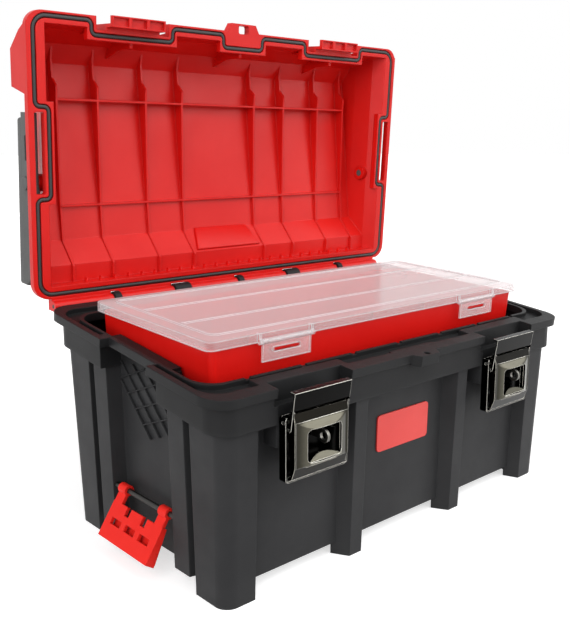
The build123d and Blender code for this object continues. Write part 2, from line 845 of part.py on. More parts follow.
def seal_ring():
    # plan of the cord, with detours round the windows, the strikes and the eye
    end = seal_end_place
    hinge = seal_hinge_place
    front = seal_front_place
    low = window_start - seal_window_room
    high = window_end + seal_window_room
    right_half = (
        (end, hinge, seal_corner),
        (end, low, seal_turn),
        (seal_window_place, low, seal_turn),
        (seal_window_place, high, seal_turn),
        (end, high, seal_turn),
        (end, front, seal_corner),
        (latch_place + seal_strike_half, front, seal_turn),
        (latch_place + seal_strike_half, seal_strike_place, seal_turn),
        (latch_place - seal_strike_half, seal_strike_place, seal_turn),
        (latch_place - seal_strike_half, front, seal_turn),
        (seal_eye_half, front, seal_turn),
        (seal_eye_half, seal_eye_place, seal_turn),
    )
    route = right_half + tuple((-x, y, turn) for x, y, turn in reversed(right_half))
    corners = [(x, y) for x, y, turn in route]
    turns = [turn for x, y, turn in route]
    with BuildSketch(lid_plane) as ring:
        with BuildLine():
            FilletPolyline(*corners, radius=turns, close=True)
        make_face()
        offset(amount=seal_half)
        with BuildSketch(mode=Mode.SUBTRACT):
            with BuildLine():
                FilletPolyline(*corners, radius=turns, close=True)
            make_face()
            offset(amount=-seal_half)
    return ring.sketch


sqrt_two = 2 ** 0.5
seal_half = seal_width / 2
with BuildPart() as lid_shell:
    add(lid_body(0, 0))
    # rim flange
    with BuildSketch(lid_plane):
        with Locations((0, lid_depth / 2)):
            RectangleRounded(lid_length, lid_depth, lid_corner)
    extrude(amount=-flange_thickness)
    # deep corner blocks at the front ends
    for side in (-1, 1):
        bulge_points = (
            (bulge_start, 0),
            (bulge_start + bulge_heel, -bulge_depth),
            (bulge_end - bulge_slope, -bulge_depth),
            (bulge_end, -bulge_brow_share * bulge_depth),
            (bulge_end + bulge_heel, 0),
        )
        add(outline(lid_side(side * lid_length / 2), bulge_points))
        extrude(amount=lid_length / 2 - lid_end_top, dir=(-side, 0, 0))
    # hollow
    add(lid_body(wall, cut_over), mode=Mode.SUBTRACT)
    # lands for the detours of the seal
    for side in (-1, 1):
        window_land = seal_window_place - seal_half - seal_land
        near = min(side * window_land, side * lid_end_rim)
        far = max(side * window_land, side * lid_end_rim)
        land_room = seal_window_room + seal_half + seal_land
        add(lid_block(near, far, window_start - land_room, window_end + land_room, 0, flange_thickness))
        land_half = seal_strike_half + seal_half + seal_land
        strike_land = seal_strike_place - seal_half - seal_land
        add(lid_block(side * latch_place - land_half, side * latch_place + land_half,
                      strike_land, lid_front_wall, 0, flange_thickness))
        add(lid_block(side * latch_place - strike_notch_half - wall,
                      side * latch_place + strike_notch_half + wall,
                      strike_notch_floor - wall, lid_face_end - wall, 0, strike_notch_depth + wall))
    eye_land_half = seal_eye_half + seal_half + seal_land
    add(lid_block(-eye_land_half, eye_land_half, seal_eye_place - seal_half - seal_land, lid_front_wall,
                  0, flange_thickness))
    # notches and strikes for the latches
    for side in (-1, 1):
        add(
            lid_block(side * latch_place - strike_notch_half, side * latch_place + strike_notch_half,
                      strike_notch_floor, lid_depth + cut_over, -cut_over, strike_notch_depth),
            mode=Mode.SUBTRACT,
        )
        strike_low = side * latch_place - strike_half
        strike_high = side * latch_place + strike_half
        add(lid_block(strike_low, strike_high, strike_notch_floor, strike_bar_back, 0, strike_notch_depth))
        add(lid_block(strike_low, strike_high, strike_notch_floor + strike_rim_room, strike_bar_back,
                      -strike_bar_low, 0))
        add(lid_block(strike_low, strike_high, strike_bar_back, strike_bar_front,
                      -strike_bar_low, -strike_bar_high))
        with BuildSketch(lid_plane.offset(strike_bar_low)):
            pocket_pitch = 2 * strike_half / strike_pockets
            pocket_place = (strike_notch_floor + strike_rim_room + strike_bar_front) / 2
            with Locations((side * latch_place, pocket_place)):
                with GridLocations(pocket_pitch, 0, strike_pockets, 1):
                    Rectangle(strike_pocket_width, strike_pocket_height)
        extrude(amount=-strike_pocket_depth, mode=Mode.SUBTRACT)
    # lock eye
    with BuildSketch(lid_plane):
        with BuildLine():
            Polyline(
                (-lid_eye_half, lid_depth - wall),
                (-lid_eye_half, lid_depth),
                (-lid_eye_half + lid_eye_slope, lid_eye_top),
                (lid_eye_half - lid_eye_slope, lid_eye_top),
                (lid_eye_half, lid_depth),
                (lid_eye_half, lid_depth - wall),
                close=True,
            )
        make_face()
    extrude(amount=-lid_eye_thickness)
    with BuildSketch(lid_plane):
        with Locations((0, lid_depth + lid_eye_slot_rise)):
            RectangleRounded(lid_eye_slot, lid_eye_slot_height, window_corner)
    extrude(amount=-cut_over, mode=Mode.SUBTRACT)
    # windows for the tails of the handle
    with BuildSketch(lid_plane):
        for side in (-1, 1):
            with Locations((side * (window_inner + window_outer) / 2, (window_start + window_end) / 2)):
                RectangleRounded(window_outer - window_inner, window_end - window_start, window_corner)
    extrude(amount=-flange_thickness, mode=Mode.SUBTRACT)
    # bosses of the handle pivots
    for side in (-1, 1):
        boss_face = handle_inner - side_clearance
        with BuildSketch(lid_side(side * boss_face)):
            with Locations((handle_pivot_place, -handle_pivot_depth)):
                Circle(handle_boss_radius)
        extrude(amount=side * (lid_end_deep - wall - boss_face))
        with BuildSketch(lid_side(side * boss_face)):
            with Locations((handle_pivot_place, -handle_pivot_depth)):
                Circle(handle_pin_radius)
        extrude(amount=side * (lid_end_deep - wall - boss_face), mode=Mode.SUBTRACT)
    # fins inside the crown
    fin_points = (
        (lid_hinge_wall + wall / 2, -lid_step_depth + wall + fin_foot),
        (lid_step_end, -lid_step_depth + wall + fin_foot),
        (lid_slope_end, -lid_slope_depth + wall + fin_foot),
        (fin_low, -fin_low_depth),
        (fin_high, -fin_high_depth),
        (fin_peak, -fin_peak_depth),
        (fin_dip, -fin_dip_depth),
        (fin_end, -fin_end_depth),
        (lid_brow_end - wall, -lid_brow_depth + wall / 2),
        (lid_crown_end, -lid_crown_depth + wall / 2),
        (lid_slope_end, -lid_slope_depth + wall / 2),
        (lid_step_end, -lid_step_depth + wall / 2),
        (lid_hinge_wall + wall / 2, -lid_step_depth + wall / 2),
    )
    for place in fin_places:
        for side in (-1, 1):
            add(outline(lid_side(side * place - fin_thickness / 2), fin_points))
            extrude(amount=fin_thickness, dir=(1, 0, 0))
    for place, depth in zip(cross_fin_places, cross_fin_depths):
        add(lid_block(-fin_places[-1], fin_places[-1], place - fin_thickness / 2, place + fin_thickness / 2,
                      depth, crown_depth(place) - wall / 2))
    # hinge lugs
    lug_half = hinge_lug_width / 2
    lug_gap_half = knuckle_width / 2 + side_clearance
    for place in hinge_places:
        for start in (place - lug_half, place + lug_gap_half):
            with BuildSketch(lid_side(start)):
                with BuildLine():
                    Polyline(
                        (hinge_local.Y - hinge_barrel_radius, hinge_local.Z),
                        (hinge_local.Y - hinge_barrel_radius, -flange_thickness),
                        (lid_hinge_wall, -flange_thickness),
                        (lid_hinge_wall, 0),
                        (hinge_local.Y + hinge_barrel_radius, 0),
                        (hinge_local.Y + hinge_barrel_radius, hinge_local.Z),
                        close=True,
                    )
                make_face()
                with Locations((hinge_local.Y, hinge_local.Z)):
                    Circle(hinge_barrel_radius)
            extrude(amount=lug_half - lug_gap_half)
        with BuildSketch(lid_side(place - lug_half)):
            with Locations((hinge_local.Y, hinge_local.Z)):
                Circle(hinge_pin_radius + pin_clearance)
        extrude(amount=hinge_lug_width, mode=Mode.SUBTRACT)
    # groove of the seal
    add(seal_ring())
    extrude(amount=seal_groove, dir=-lid_plane.z_dir, mode=Mode.SUBTRACT)
lid_shell.part.label = "lid_shell"
export_step(lid_shell.part, "parts/lid_shell.step")

# Seal cord, pressed into the groove of the lid rim
with BuildPart() as lid_seal:
    add(seal_ring())
    extrude(amount=seal_groove, dir=-lid_plane.z_dir)
    add(seal_ring())
    extrude(amount=seal_proud, dir=lid_plane.z_dir)
lid_seal.part.label = "lid_seal"
export_step(lid_seal.part, "parts/lid_seal.step")

# Pins of the lid hinge
with BuildPart() as hinge_pins:
    for place in hinge_places:
        with BuildSketch(Plane.YZ.offset(place - hinge_lug_width / 2)):
            with Locations((hinge_reach, hinge_height)):
                Circle(hinge_pin_radius)
        extrude(amount=hinge_lug_width)
hinge_pins.part.label = "hinge_pins"
export_step(hinge_pins.part, "parts/hinge_pins.step")

# Carry handle: two arms with tails and a round bar over the hinge side of the lid
with BuildPart() as carry_handle:
    arm_top = handle_pivot_depth - handle_arm_half
    arm_deep = handle_pivot_depth + handle_arm_half
    for side in (-1, 1):
        with BuildSketch(lid_side(side * handle_inner)) as arm:
            with BuildLine():
                Polyline(
                    (handle_bar_place, -handle_bar_depth + handle_bar_radius),
                    (handle_bar_place + handle_bar_radius, -arm_top),
                    (handle_pivot_place - handle_arm_half, -arm_top),
                    (handle_pivot_place, -handle_pivot_depth + handle_tail_half),
                    (handle_tail_end, -handle_pivot_depth + handle_tail_half),
                    (handle_tail_end, -handle_pivot_depth - handle_tail_half),
                    (handle_pivot_place, -handle_pivot_depth - handle_tail_half),
                    (handle_pivot_place - handle_arm_half, -arm_deep),
                    (handle_bar_place + 2 * handle_bar_radius, -arm_deep),
                    (handle_bar_place, -handle_bar_depth - handle_bar_radius),
                    close=True,
                )
            make_face()
            with Locations((handle_bar_place, -handle_bar_depth)):
                Circle(handle_bar_radius)
            with Locations((handle_pivot_place, -handle_pivot_depth)):
                Circle(handle_boss_radius)
        extrude(amount=side * (handle_outer - handle_inner))
        with BuildSketch(lid_side(side * handle_inner)):
            with Locations((handle_pivot_place, -handle_pivot_depth)):
                Circle(handle_pin_radius + pin_clearance)
        extrude(amount=side * (handle_outer - handle_inner), mode=Mode.SUBTRACT)
        with BuildSketch(lid_side(side * handle_outer)):
            with Locations(((handle_pivot_place + handle_tail_end) / 2, -handle_pivot_depth)):
                SlotOverall(handle_slot_length, handle_slot_width)
        extrude(amount=-side * handle_slot_depth, mode=Mode.SUBTRACT)
    with BuildSketch(lid_side(-handle_inner)):
        with Locations((handle_bar_place, -handle_bar_depth)):
            Circle(handle_bar_radius)
    extrude(amount=2 * handle_inner)
carry_handle.part.label = "carry_handle"
export_step(carry_handle.part, "parts/carry_handle.step")

# Pivot pins of the handle, with heads outside the arms
with BuildPart() as handle_pivots:
    for side in (-1, 1):
        head_face = handle_outer + side_clearance
        with BuildSketch(lid_side(side * (lid_end_deep - wall))):
            with Locations((handle_pivot_place, -handle_pivot_depth)):
                Circle(handle_pin_radius)
        extrude(amount=side * (head_face - lid_end_deep + wall))
        with BuildSketch(lid_side(side * head_face)):
            with Locations((handle_pivot_place, -handle_pivot_depth)):
                Circle(handle_pin_head)
        extrude(amount=side * handle_pin_head_thickness)
handle_pivots.part.label = "handle_pivots"
export_step(handle_pivots.part, "parts/handle_pivots.step")

# Latches: plate, staple, lever, hook and their pins, once for each side
hook_lean = radians(hook_rest_angle)
for side, hand in ((-1, "left"), (1, "right")):
    centre = side * latch_place

    # pressed back plate with raised sides
    with BuildPart() as latch_plate:
        with BuildSketch(Plane.XZ.offset(latch_pad_reach)):
            with Locations((centre, (plate_bottom + plate_top) / 2)):
                RectangleRounded(2 * plate_half, plate_top - plate_bottom, plate_corner)
        extrude(amount=plate_wall_reach - latch_pad_reach)
        with BuildSketch(Plane.XZ.offset(latch_pad_reach + plate_sheet)):
            with Locations((centre, (plate_bottom + plate_sheet + plate_top + cut_over) / 2)):
                Rectangle(2 * (plate_half - plate_sheet), plate_top + cut_over - plate_bottom - plate_sheet)
        extrude(amount=cut_over, mode=Mode.SUBTRACT)
        with BuildSketch(Plane.YZ.offset(centre - plate_half)):
            with Locations((-lever_pin_reach, lever_pin_height)):
                Circle(lever_pin_radius)
        extrude(amount=2 * plate_half, mode=Mode.SUBTRACT)
        with BuildSketch(Plane.XZ.offset(latch_pad_reach)):
            with Locations(*rivet_spots):
                Circle(rivet_radius)
        extrude(amount=plate_sheet, mode=Mode.SUBTRACT)
    latch_plate.part.label = hand + "_latch_plate"
    export_step(latch_plate.part, "parts/" + hand + "_latch_plate.step")

    # padlock staple standing on the plate
    with BuildPart() as staple:
        with BuildSketch(Plane.YZ.offset(centre - staple_sheet / 2)):
            with Locations((-(latch_pad_reach + plate_sheet + staple_reach) / 2, staple_height)):
                Rectangle(staple_reach - latch_pad_reach - plate_sheet, 2 * staple_neck)
            with Locations((-staple_reach, staple_height)):
                Circle(staple_ring)
                Circle(staple_hole, mode=Mode.SUBTRACT)
        extrude(amount=staple_sheet)
    staple.part.label = hand + "_staple"
    export_step(staple.part, "parts/" + hand + "_staple.step")

    # lever with a window, bent from sheet
    with BuildPart() as lever:
        with BuildSketch(Plane.YZ.offset(centre - lever_half)):
            with BuildLine():
                Polyline(
                    (-lever_toe_reach, lever_bottom),
                    (-lever_reach, lever_knee_height),
                    (-lever_reach, lever_brow_height),
                    (-lever_brow_reach, lever_top),
                    (-lever_ridge_reach, lever_top),
                    (-lever_back_reach, lever_shoulder_height),
                    (-lever_back_reach, lever_back_height),
                    (-lever_waist_reach, lever_waist_height),
                    (-lever_toe_back, lever_bottom),
                    close=True,
                )
            make_face()
        extrude(amount=2 * lever_half)
        with BuildSketch(Plane.YZ.offset(centre - lever_half + lever_sheet)):
            with BuildLine():
                Polyline(
                    (-lever_toe_reach + lever_sheet, lever_bottom + lever_sheet),
                    (-lever_reach + lever_sheet, lever_knee_height + lever_sheet),
                    (-lever_reach + lever_sheet, lever_brow_height),
                    (-lever_brow_reach + lever_sheet, lever_top - lever_sheet),
                    (-lever_back_reach + cut_over, lever_top - lever_sheet),
                    (-lever_back_reach + cut_over, lever_bottom + lever_sheet),
                    close=True,
                )
            make_face()
        extrude(amount=2 * (lever_half - lever_sheet), mode=Mode.SUBTRACT)
        with BuildSketch(Plane.XZ.offset(lever_reach)):
            with Locations((centre, (window_bottom + window_top) / 2)):
                RectangleRounded(2 * window_half, window_top - window_bottom, window_round)
        extrude(amount=-2 * lever_sheet, mode=Mode.SUBTRACT)
        with BuildSketch(Plane.YZ.offset(centre - lever_half)):
            with Locations((-lever_pin_reach, lever_pin_height)):
                Circle(lever_pin_radius + pin_clearance)
            with Locations((-hook_pin_reach, hook_pin_height)):
                Circle(hook_pin_radius)
        extrude(amount=2 * lever_half, mode=Mode.SUBTRACT)
    lever.part.label = hand + "_latch_lever"
    export_step(lever.part, "parts/" + hand + "_latch_lever.step")

    with BuildPart() as lever_pin:
        with BuildSketch(Plane.YZ.offset(centre - plate_half)):
            with Locations((-lever_pin_reach, lever_pin_height)):
                Circle(lever_pin_radius)
        extrude(amount=2 * plate_half)
    lever_pin.part.label = hand + "_lever_pin"
    export_step(lever_pin.part, "parts/" + hand + "_lever_pin.step")

    # hook plate with a lip, on two arms beside the lever
    hook_x = Vector(0, cos(hook_lean), sin(hook_lean))
    hook_origin = Vector(centre, -hook_pin_reach, hook_pin_height)
    hook_start = Plane(origin=hook_origin - Vector(hook_half, 0, 0), x_dir=hook_x, z_dir=(1, 0, 0))
    with BuildPart() as hook:
        with BuildSketch(hook_start):
            with BuildLine():
                Polyline(
                    (-hook_front, hook_plate_low),
                    (-hook_front, hook_plate_high),
                    (hook_lip_reach, hook_plate_high),
                    (hook_lip_reach, hook_plate_high - hook_sheet),
                    (-hook_front + hook_sheet, hook_plate_high - hook_sheet),
                    (-hook_front + hook_sheet, hook_plate_low),
                    close=True,
                )
            make_face()
        extrude(amount=2 * hook_half)
        for arm_start in (0, 2 * hook_half - hook_sheet):
            with BuildSketch(hook_start.offset(arm_start)):
                with Locations((-hook_front + hook_arm_width / 2, (hook_plate_low + hook_sheet) / 2)):
                    Rectangle(hook_arm_width, hook_plate_low + hook_sheet)
                Circle(hook_eye_radius)
            extrude(amount=hook_sheet)
        with BuildSketch(hook_start):
            Circle(hook_pin_radius + pin_clearance)
        extrude(amount=2 * hook_half, mode=Mode.SUBTRACT)
    hook.part.label = hand + "_latch_hook"
    export_step(hook.part, "parts/" + hand + "_latch_hook.step")

    with BuildPart() as hook_pin:
        with BuildSketch(hook_start):
            Circle(hook_pin_radius)
        extrude(amount=2 * hook_half)
    hook_pin.part.label = hand + "_hook_pin"
    export_step(hook_pin.part, "parts/" + hand + "_hook_pin.step")

# Rivets of the latch plates, headed on both sides
with BuildPart() as latch_rivets:
    with BuildSketch(Plane.XZ.offset(latch_pad_reach - wall)):
        with Locations(*rivet_spots):
            Circle(rivet_radius)
    extrude(amount=wall + plate_sheet)
    with BuildSketch(Plane.XZ.offset(latch_pad_reach + plate_sheet)):
        with Locations(*rivet_spots):
            Circle(rivet_head)
    extrude(amount=rivet_head_height)
    with BuildSketch(Plane.XZ.offset(latch_pad_reach - wall)):
        with Locations(*rivet_spots):
            Circle(rivet_head)
    extrude(amount=-rivet_head_height)
latch_rivets.part.label = "latch_rivets"
export_step(latch_rivets.part, "parts/latch_rivets.step")

# Stacking clips and their pins at the two ends
clip_lean = radians(clip_rest_angle)
for side, hand in ((-1, "left"), (1, "right")):
    clip_plane = Plane(
        origin=(side * clip_pivot_place, 0, clip_pivot_height),
        x_dir=(side * cos(clip_lean), 0, sin(clip_lean)),
        z_dir=(0, -side, 0),
    )
    clip_front = Plane(origin=clip_plane.origin, x_dir=(0, side, 0), z_dir=clip_plane.x_dir)
    with BuildPart() as stack_clip:
        with BuildSketch(clip_front.offset(-clip_sheet / 2)):
            with Locations((0, -(clip_length + clip_arm_length) / 2)):
                Rectangle(2 * clip_half_width, clip_length - clip_arm_length)
            with Locations((-clip_arm_place, -clip_arm_length / 2), (clip_arm_place, -clip_arm_length / 2)):
                Rectangle(clip_arm_width, clip_arm_length)
            with Locations((0, -clip_slot_place)):
                with GridLocations(clip_slot_pitch, 0, clip_slots, 1):
                    Rectangle(clip_slot_width, clip_slot_height, mode=Mode.SUBTRACT)
            with Locations((0, -clip_arm_length)):
                with GridLocations(clip_notch_pitch, 0, 2, 1):
                    Rectangle(clip_notch_width, 2 * clip_notch_height, mode=Mode.SUBTRACT)
        extrude(amount=clip_sheet)
        for flank in (-1, 1):
            with BuildSketch(clip_plane.offset(flank * clip_half_width)):
                with BuildLine():
                    Polyline(
                        (0, -clip_arm_length),
                        (0, -clip_length),
                        (-clip_flange_depth, -clip_length),
                        (-clip_flange_depth, -clip_length + clip_flange),
                        (-clip_sheet, -clip_arm_length),
                        close=True,
                    )
                make_face()
            extrude(amount=-flank * clip_flange)
        with BuildSketch(clip_plane.offset(-clip_half_width)):
            with Locations((-(clip_flange_depth - clip_sheet / 2) / 2, -clip_length + clip_flange / 2)):
                Rectangle(clip_flange_depth + clip_sheet / 2, clip_flange)
        extrude(amount=2 * clip_half_width)
        for flank in (-1, 1):
            with BuildSketch(clip_plane.offset(flank * clip_arm_place - clip_arm_width / 2)):
                Circle(clip_barrel_radius)
            extrude(amount=clip_arm_width)
        with BuildSketch(clip_plane.offset(-clip_half_width)):
            Circle(clip_pin_radius + pin_clearance)
        extrude(amount=2 * clip_half_width, mode=Mode.SUBTRACT)
    stack_clip.part.label = hand + "_stack_clip"
    export_step(stack_clip.part, "parts/" + hand + "_stack_clip.step")

    with BuildPart() as clip_pin:
        with BuildSketch(Plane.XZ.offset(-clip_pin_half)):
            with Locations((side * clip_pivot_place, clip_pivot_height)):
                Circle(clip_pin_radius)
        extrude(amount=2 * clip_pin_half)
    clip_pin.part.label = hand + "_clip_pin"
    export_step(clip_pin.part, "parts/" + hand + "_clip_pin.step")

# Organiser tray with fixed rows
tray_half_depth = organiser_half_depth - tray_side_room
tray_floor_shrink = tray_depth * tan(radians(tray_draft))
row_place = tray_row_share * tray_half_depth
tray_axis_reach = organiser_half_depth + tray_barrel_radius + tray_hinge_room
tab_axis_reach = organiser_half_depth + tab_barrel_radius + tray_lid_gap


def organiser_side(x):
    start = organiser_plane.origin + Vector(x, 0, 0)
    return Plane(origin=start, x_dir=organiser_plane.y_dir, z_dir=(1, 0, 0))


with BuildPart() as organiser_tray:
    with BuildSketch(organiser_plane.offset(-tray_lid_gap)):
        RectangleRounded(2 * tray_half_length, 2 * tray_half_depth, tray_corner)
    extrude(amount=tray_depth - tray_lid_gap, dir=-organiser_plane.z_dir, taper=tray_draft)
    with BuildSketch(organiser_plane.offset(-tray_lid_gap)):
        RectangleRounded(2 * (tray_half_length - tray_wall), 2 * (tray_half_depth - tray_wall),
                         tray_corner - tray_wall)
    extrude(amount=tray_depth - tray_lid_gap - tray_wall, dir=-organiser_plane.z_dir, taper=tray_draft,
            mode=Mode.SUBTRACT)
    with BuildSketch(organiser_plane.offset(-tray_depth + tray_wall)):
        with Locations((0, -row_place), (0, row_place)):
            Rectangle(2 * (tray_half_length - tray_floor_shrink) - tray_wall, divider_sheet)
    extrude(amount=tray_depth - tray_wall - divider_drop)
    for place in (-tab_place, tab_place):
        with BuildSketch(organiser_side(place - tab_slot_width / 2 + tab_catch_room)):
            catch_height = tab_axis_height - tab_slot_drop
            catch_reach = tab_axis_reach - tab_sheet / 2 - tray_lid_gap
            with BuildLine():
                Polyline(
                    (-tray_half_depth + tray_floor_shrink, catch_height + tab_catch_height / 2),
                    (-catch_reach, catch_height + tab_catch_height / 2),
                    (-catch_reach, catch_height - tab_catch_height / 2),
                    (-tray_half_depth + tray_floor_shrink, catch_height - tab_catch_height / 2),
                    close=True,
                )
            make_face()
        extrude(amount=tab_slot_width - 2 * tab_catch_room)
    for place in tray_hinge_places:
        with BuildSketch(organiser_side(place - tray_knuckle_width / 2)):
            with BuildLine():
                Polyline(
                    (tray_half_depth - tray_wall, -tray_web_height - tray_lid_gap),
                    (tray_half_depth - tray_wall, -tray_hinge_room - tray_lid_gap),
                    (tray_axis_reach, -tray_hinge_room - tray_lid_gap),
                    (tray_axis_reach, tray_axis_height - tray_barrel_radius),
                    close=True,
                )
            make_face()
            with Locations((tray_axis_reach, tray_axis_height)):
                Circle(tray_barrel_radius)
        extrude(amount=tray_knuckle_width)
        with BuildSketch(organiser_side(place - tray_knuckle_width / 2)):
            with Locations((tray_axis_reach, tray_axis_height)):
                Circle(tray_pin_radius)
        extrude(amount=tray_knuckle_width, mode=Mode.SUBTRACT)
organiser_tray.part.label = "organiser_tray"
export_step(organiser_tray.part, "parts/organiser_tray.step")

# Loose dividers standing in the rows
with BuildPart() as organiser_dividers:
    row_edges = (
        (-tray_half_depth + tray_floor_shrink + tray_wall, -row_place - divider_sheet / 2),
        (-row_place + divider_sheet / 2, row_place - divider_sheet / 2),
        (row_place + divider_sheet / 2, tray_half_depth - tray_floor_shrink - tray_wall),
    )
    with BuildSketch(organiser_plane.offset(-tray_depth + tray_wall)):
        for share in divider_places_share:
            for low, high in row_edges:
                with Locations((share * tray_half_length, (low + high) / 2)):
                    Rectangle(divider_sheet, high - low - 2 * divider_room)
    extrude(amount=tray_depth - tray_wall - divider_drop)
organiser_dividers.part.label = "organiser_dividers"
export_step(organiser_dividers.part, "parts/organiser_dividers.step")

# Clear lid of the organiser, with lugs at the back and rods for the snap tabs
with BuildPart() as organiser_lid:
    with BuildSketch(organiser_plane):
        RectangleRounded(2 * organiser_half_length, 2 * organiser_half_depth, organiser_lid_corner)
    extrude(amount=organiser_lid_height)
    fillet(organiser_lid.faces().sort_by(Axis.Z)[-1].edges(), organiser_lid_sheet / 2)
    with BuildSketch(organiser_plane):
        RectangleRounded(
            2 * (organiser_half_length - organiser_lid_sheet),
            2 * (organiser_half_depth - organiser_lid_sheet),
            organiser_lid_corner - organiser_lid_sheet,
        )
    extrude(amount=organiser_lid_height - organiser_lid_sheet, mode=Mode.SUBTRACT)
    with BuildSketch(organiser_plane.offset(organiser_lid_height)):
        RectangleRounded(
            2 * (organiser_half_length - organiser_border),
            2 * (organiser_half_depth - organiser_border),
            organiser_lid_corner,
        )
        RectangleRounded(
            2 * (organiser_half_length - organiser_border - organiser_border_width),
            2 * (organiser_half_depth - organiser_border - organiser_border_width),
            organiser_lid_corner - organiser_border_width,
            mode=Mode.SUBTRACT,
        )
        with Locations((0, -row_place), (0, row_place)):
            Rectangle(2 * (organiser_half_length - organiser_border - organiser_border_width),
                      organiser_border_width)
    extrude(amount=organiser_border_height)
    for place in tray_hinge_places:
        lug_start = tray_knuckle_width / 2 + side_clearance
        lug_width = tray_hinge_width / 2 - lug_start
        for start in (place - tray_hinge_width / 2, place + lug_start):
            with BuildSketch(organiser_side(start)):
                with BuildLine():
                    Polyline(
                        (organiser_half_depth - organiser_lid_sheet / 2, tray_axis_height),
                        (tray_axis_reach, tray_axis_height),
                        (tray_axis_reach, tray_axis_height + tray_barrel_radius),
                        (organiser_half_depth - organiser_lid_sheet / 2,
                         tray_axis_height + tray_barrel_radius),
                        close=True,
                    )
                make_face()
                with Locations((tray_axis_reach, tray_axis_height)):
                    Circle(tray_barrel_radius)
            extrude(amount=lug_width)
        with BuildSketch(organiser_side(place - tray_hinge_width / 2)):
            with Locations((tray_axis_reach, tray_axis_height)):
                Circle(tray_pin_radius + pin_clearance)
        extrude(amount=tray_hinge_width, mode=Mode.SUBTRACT)
    for place in (-tab_place, tab_place):
        ear_start = tab_width / 2 + side_clearance
        for start in (place - ear_start - tab_ear, place + ear_start):
            with BuildSketch(organiser_side(start)):
                with Locations(((-tab_axis_reach - organiser_half_depth + organiser_lid_sheet) / 2,
                                organiser_lid_height / 2)):
                    Rectangle(tab_axis_reach - organiser_half_depth + organiser_lid_sheet,
                              organiser_lid_height)
                with Locations((-tab_axis_reach, tab_axis_height)):
                    Circle(tab_barrel_radius)
            extrude(amount=tab_ear)
        with BuildSketch(organiser_side(place - ear_start)):
            with Locations((-tab_axis_reach, tab_axis_height)):
                Circle(tab_rod_radius)
        extrude(amount=2 * ear_start)
organiser_lid.part.label = "organiser_lid"
export_step(organiser_lid.part, "parts/organiser_lid.step")

# Pins of the organiser hinge
with BuildPart() as organiser_hinge_pins:
    for place in tray_hinge_places:
        with BuildSketch(organiser_side(place - tray_hinge_width / 2)):
            with Locations((tray_axis_reach, tray_axis_height)):
                Circle(tray_pin_radius)
        extrude(amount=tray_hinge_width)
organiser_hinge_pins.part.label = "organiser_hinge_pins"
export_step(organiser_hinge_pins.part, "parts/organiser_hinge_pins.step")

# Snap tabs of the organiser lid
for place, hand in ((-tab_place, "left"), (tab_place, "right")):
    with BuildPart() as organiser_tab:
        with BuildSketch(organiser_side(place - tab_width / 2)):
            with Locations((-tab_axis_reach, tab_axis_height)):
                Circle(tab_barrel_radius)
            with Locations((-tab_axis_reach, tab_axis_height - tab_length / 2)):
                Rectangle(tab_sheet, tab_length)
        extrude(amount=tab_width)
        with BuildSketch(organiser_side(place - tab_width / 2)):
            with Locations((-tab_axis_reach, tab_axis_height)):
                Circle(tab_rod_radius + pin_clearance)
        extrude(amount=tab_width, mode=Mode.SUBTRACT)
        tab_face = Plane(origin=organiser_plane.origin - organiser_plane.y_dir * tab_axis_reach,
                         x_dir=(1, 0, 0), z_dir=-organiser_plane.y_dir)
        with BuildSketch(tab_face):
            with Locations((place, tab_axis_height - tab_slot_drop)):
                Rectangle(tab_slot_width, tab_slot_height)
        extrude(amount=tab_sheet, both=True, mode=Mode.SUBTRACT)
    organiser_tab.part.label = hand + "_organiser_tab"
    export_step(organiser_tab.part, "parts/" + hand + "_organiser_tab.step")

# Plain badge plate on the drafted front panel
with BuildPart() as front_badge:
    badge_plane = Plane(
        origin=(0, -panel_reach(badge_centre_height), badge_centre_height),
        x_dir=(1, 0, 0),
        z_dir=(0, -cos(radians(panel_draft)), -sin(radians(panel_draft))),
    )
    with BuildSketch(badge_plane):
        RectangleRounded(badge_width, badge_height, badge_corner)
    extrude(amount=badge_thickness)
front_badge.part.label = "front_badge"
export_step(front_badge.part, "parts/front_badge.step")
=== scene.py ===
import math

import bpy
from mathutils import Matrix, Vector


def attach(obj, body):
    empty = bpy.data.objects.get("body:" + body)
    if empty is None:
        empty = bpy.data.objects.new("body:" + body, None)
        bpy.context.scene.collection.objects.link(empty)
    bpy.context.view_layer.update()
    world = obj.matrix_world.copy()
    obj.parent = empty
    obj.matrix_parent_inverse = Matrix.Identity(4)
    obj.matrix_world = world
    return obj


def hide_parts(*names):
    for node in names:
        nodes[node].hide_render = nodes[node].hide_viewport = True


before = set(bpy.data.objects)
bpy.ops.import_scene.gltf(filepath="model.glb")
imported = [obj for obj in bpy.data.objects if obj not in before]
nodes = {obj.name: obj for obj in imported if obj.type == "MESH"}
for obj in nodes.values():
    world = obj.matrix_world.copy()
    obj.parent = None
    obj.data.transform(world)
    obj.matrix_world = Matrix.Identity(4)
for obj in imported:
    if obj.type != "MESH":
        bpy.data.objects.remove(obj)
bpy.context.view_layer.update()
bpy.ops.object.select_all(action="DESELECT")


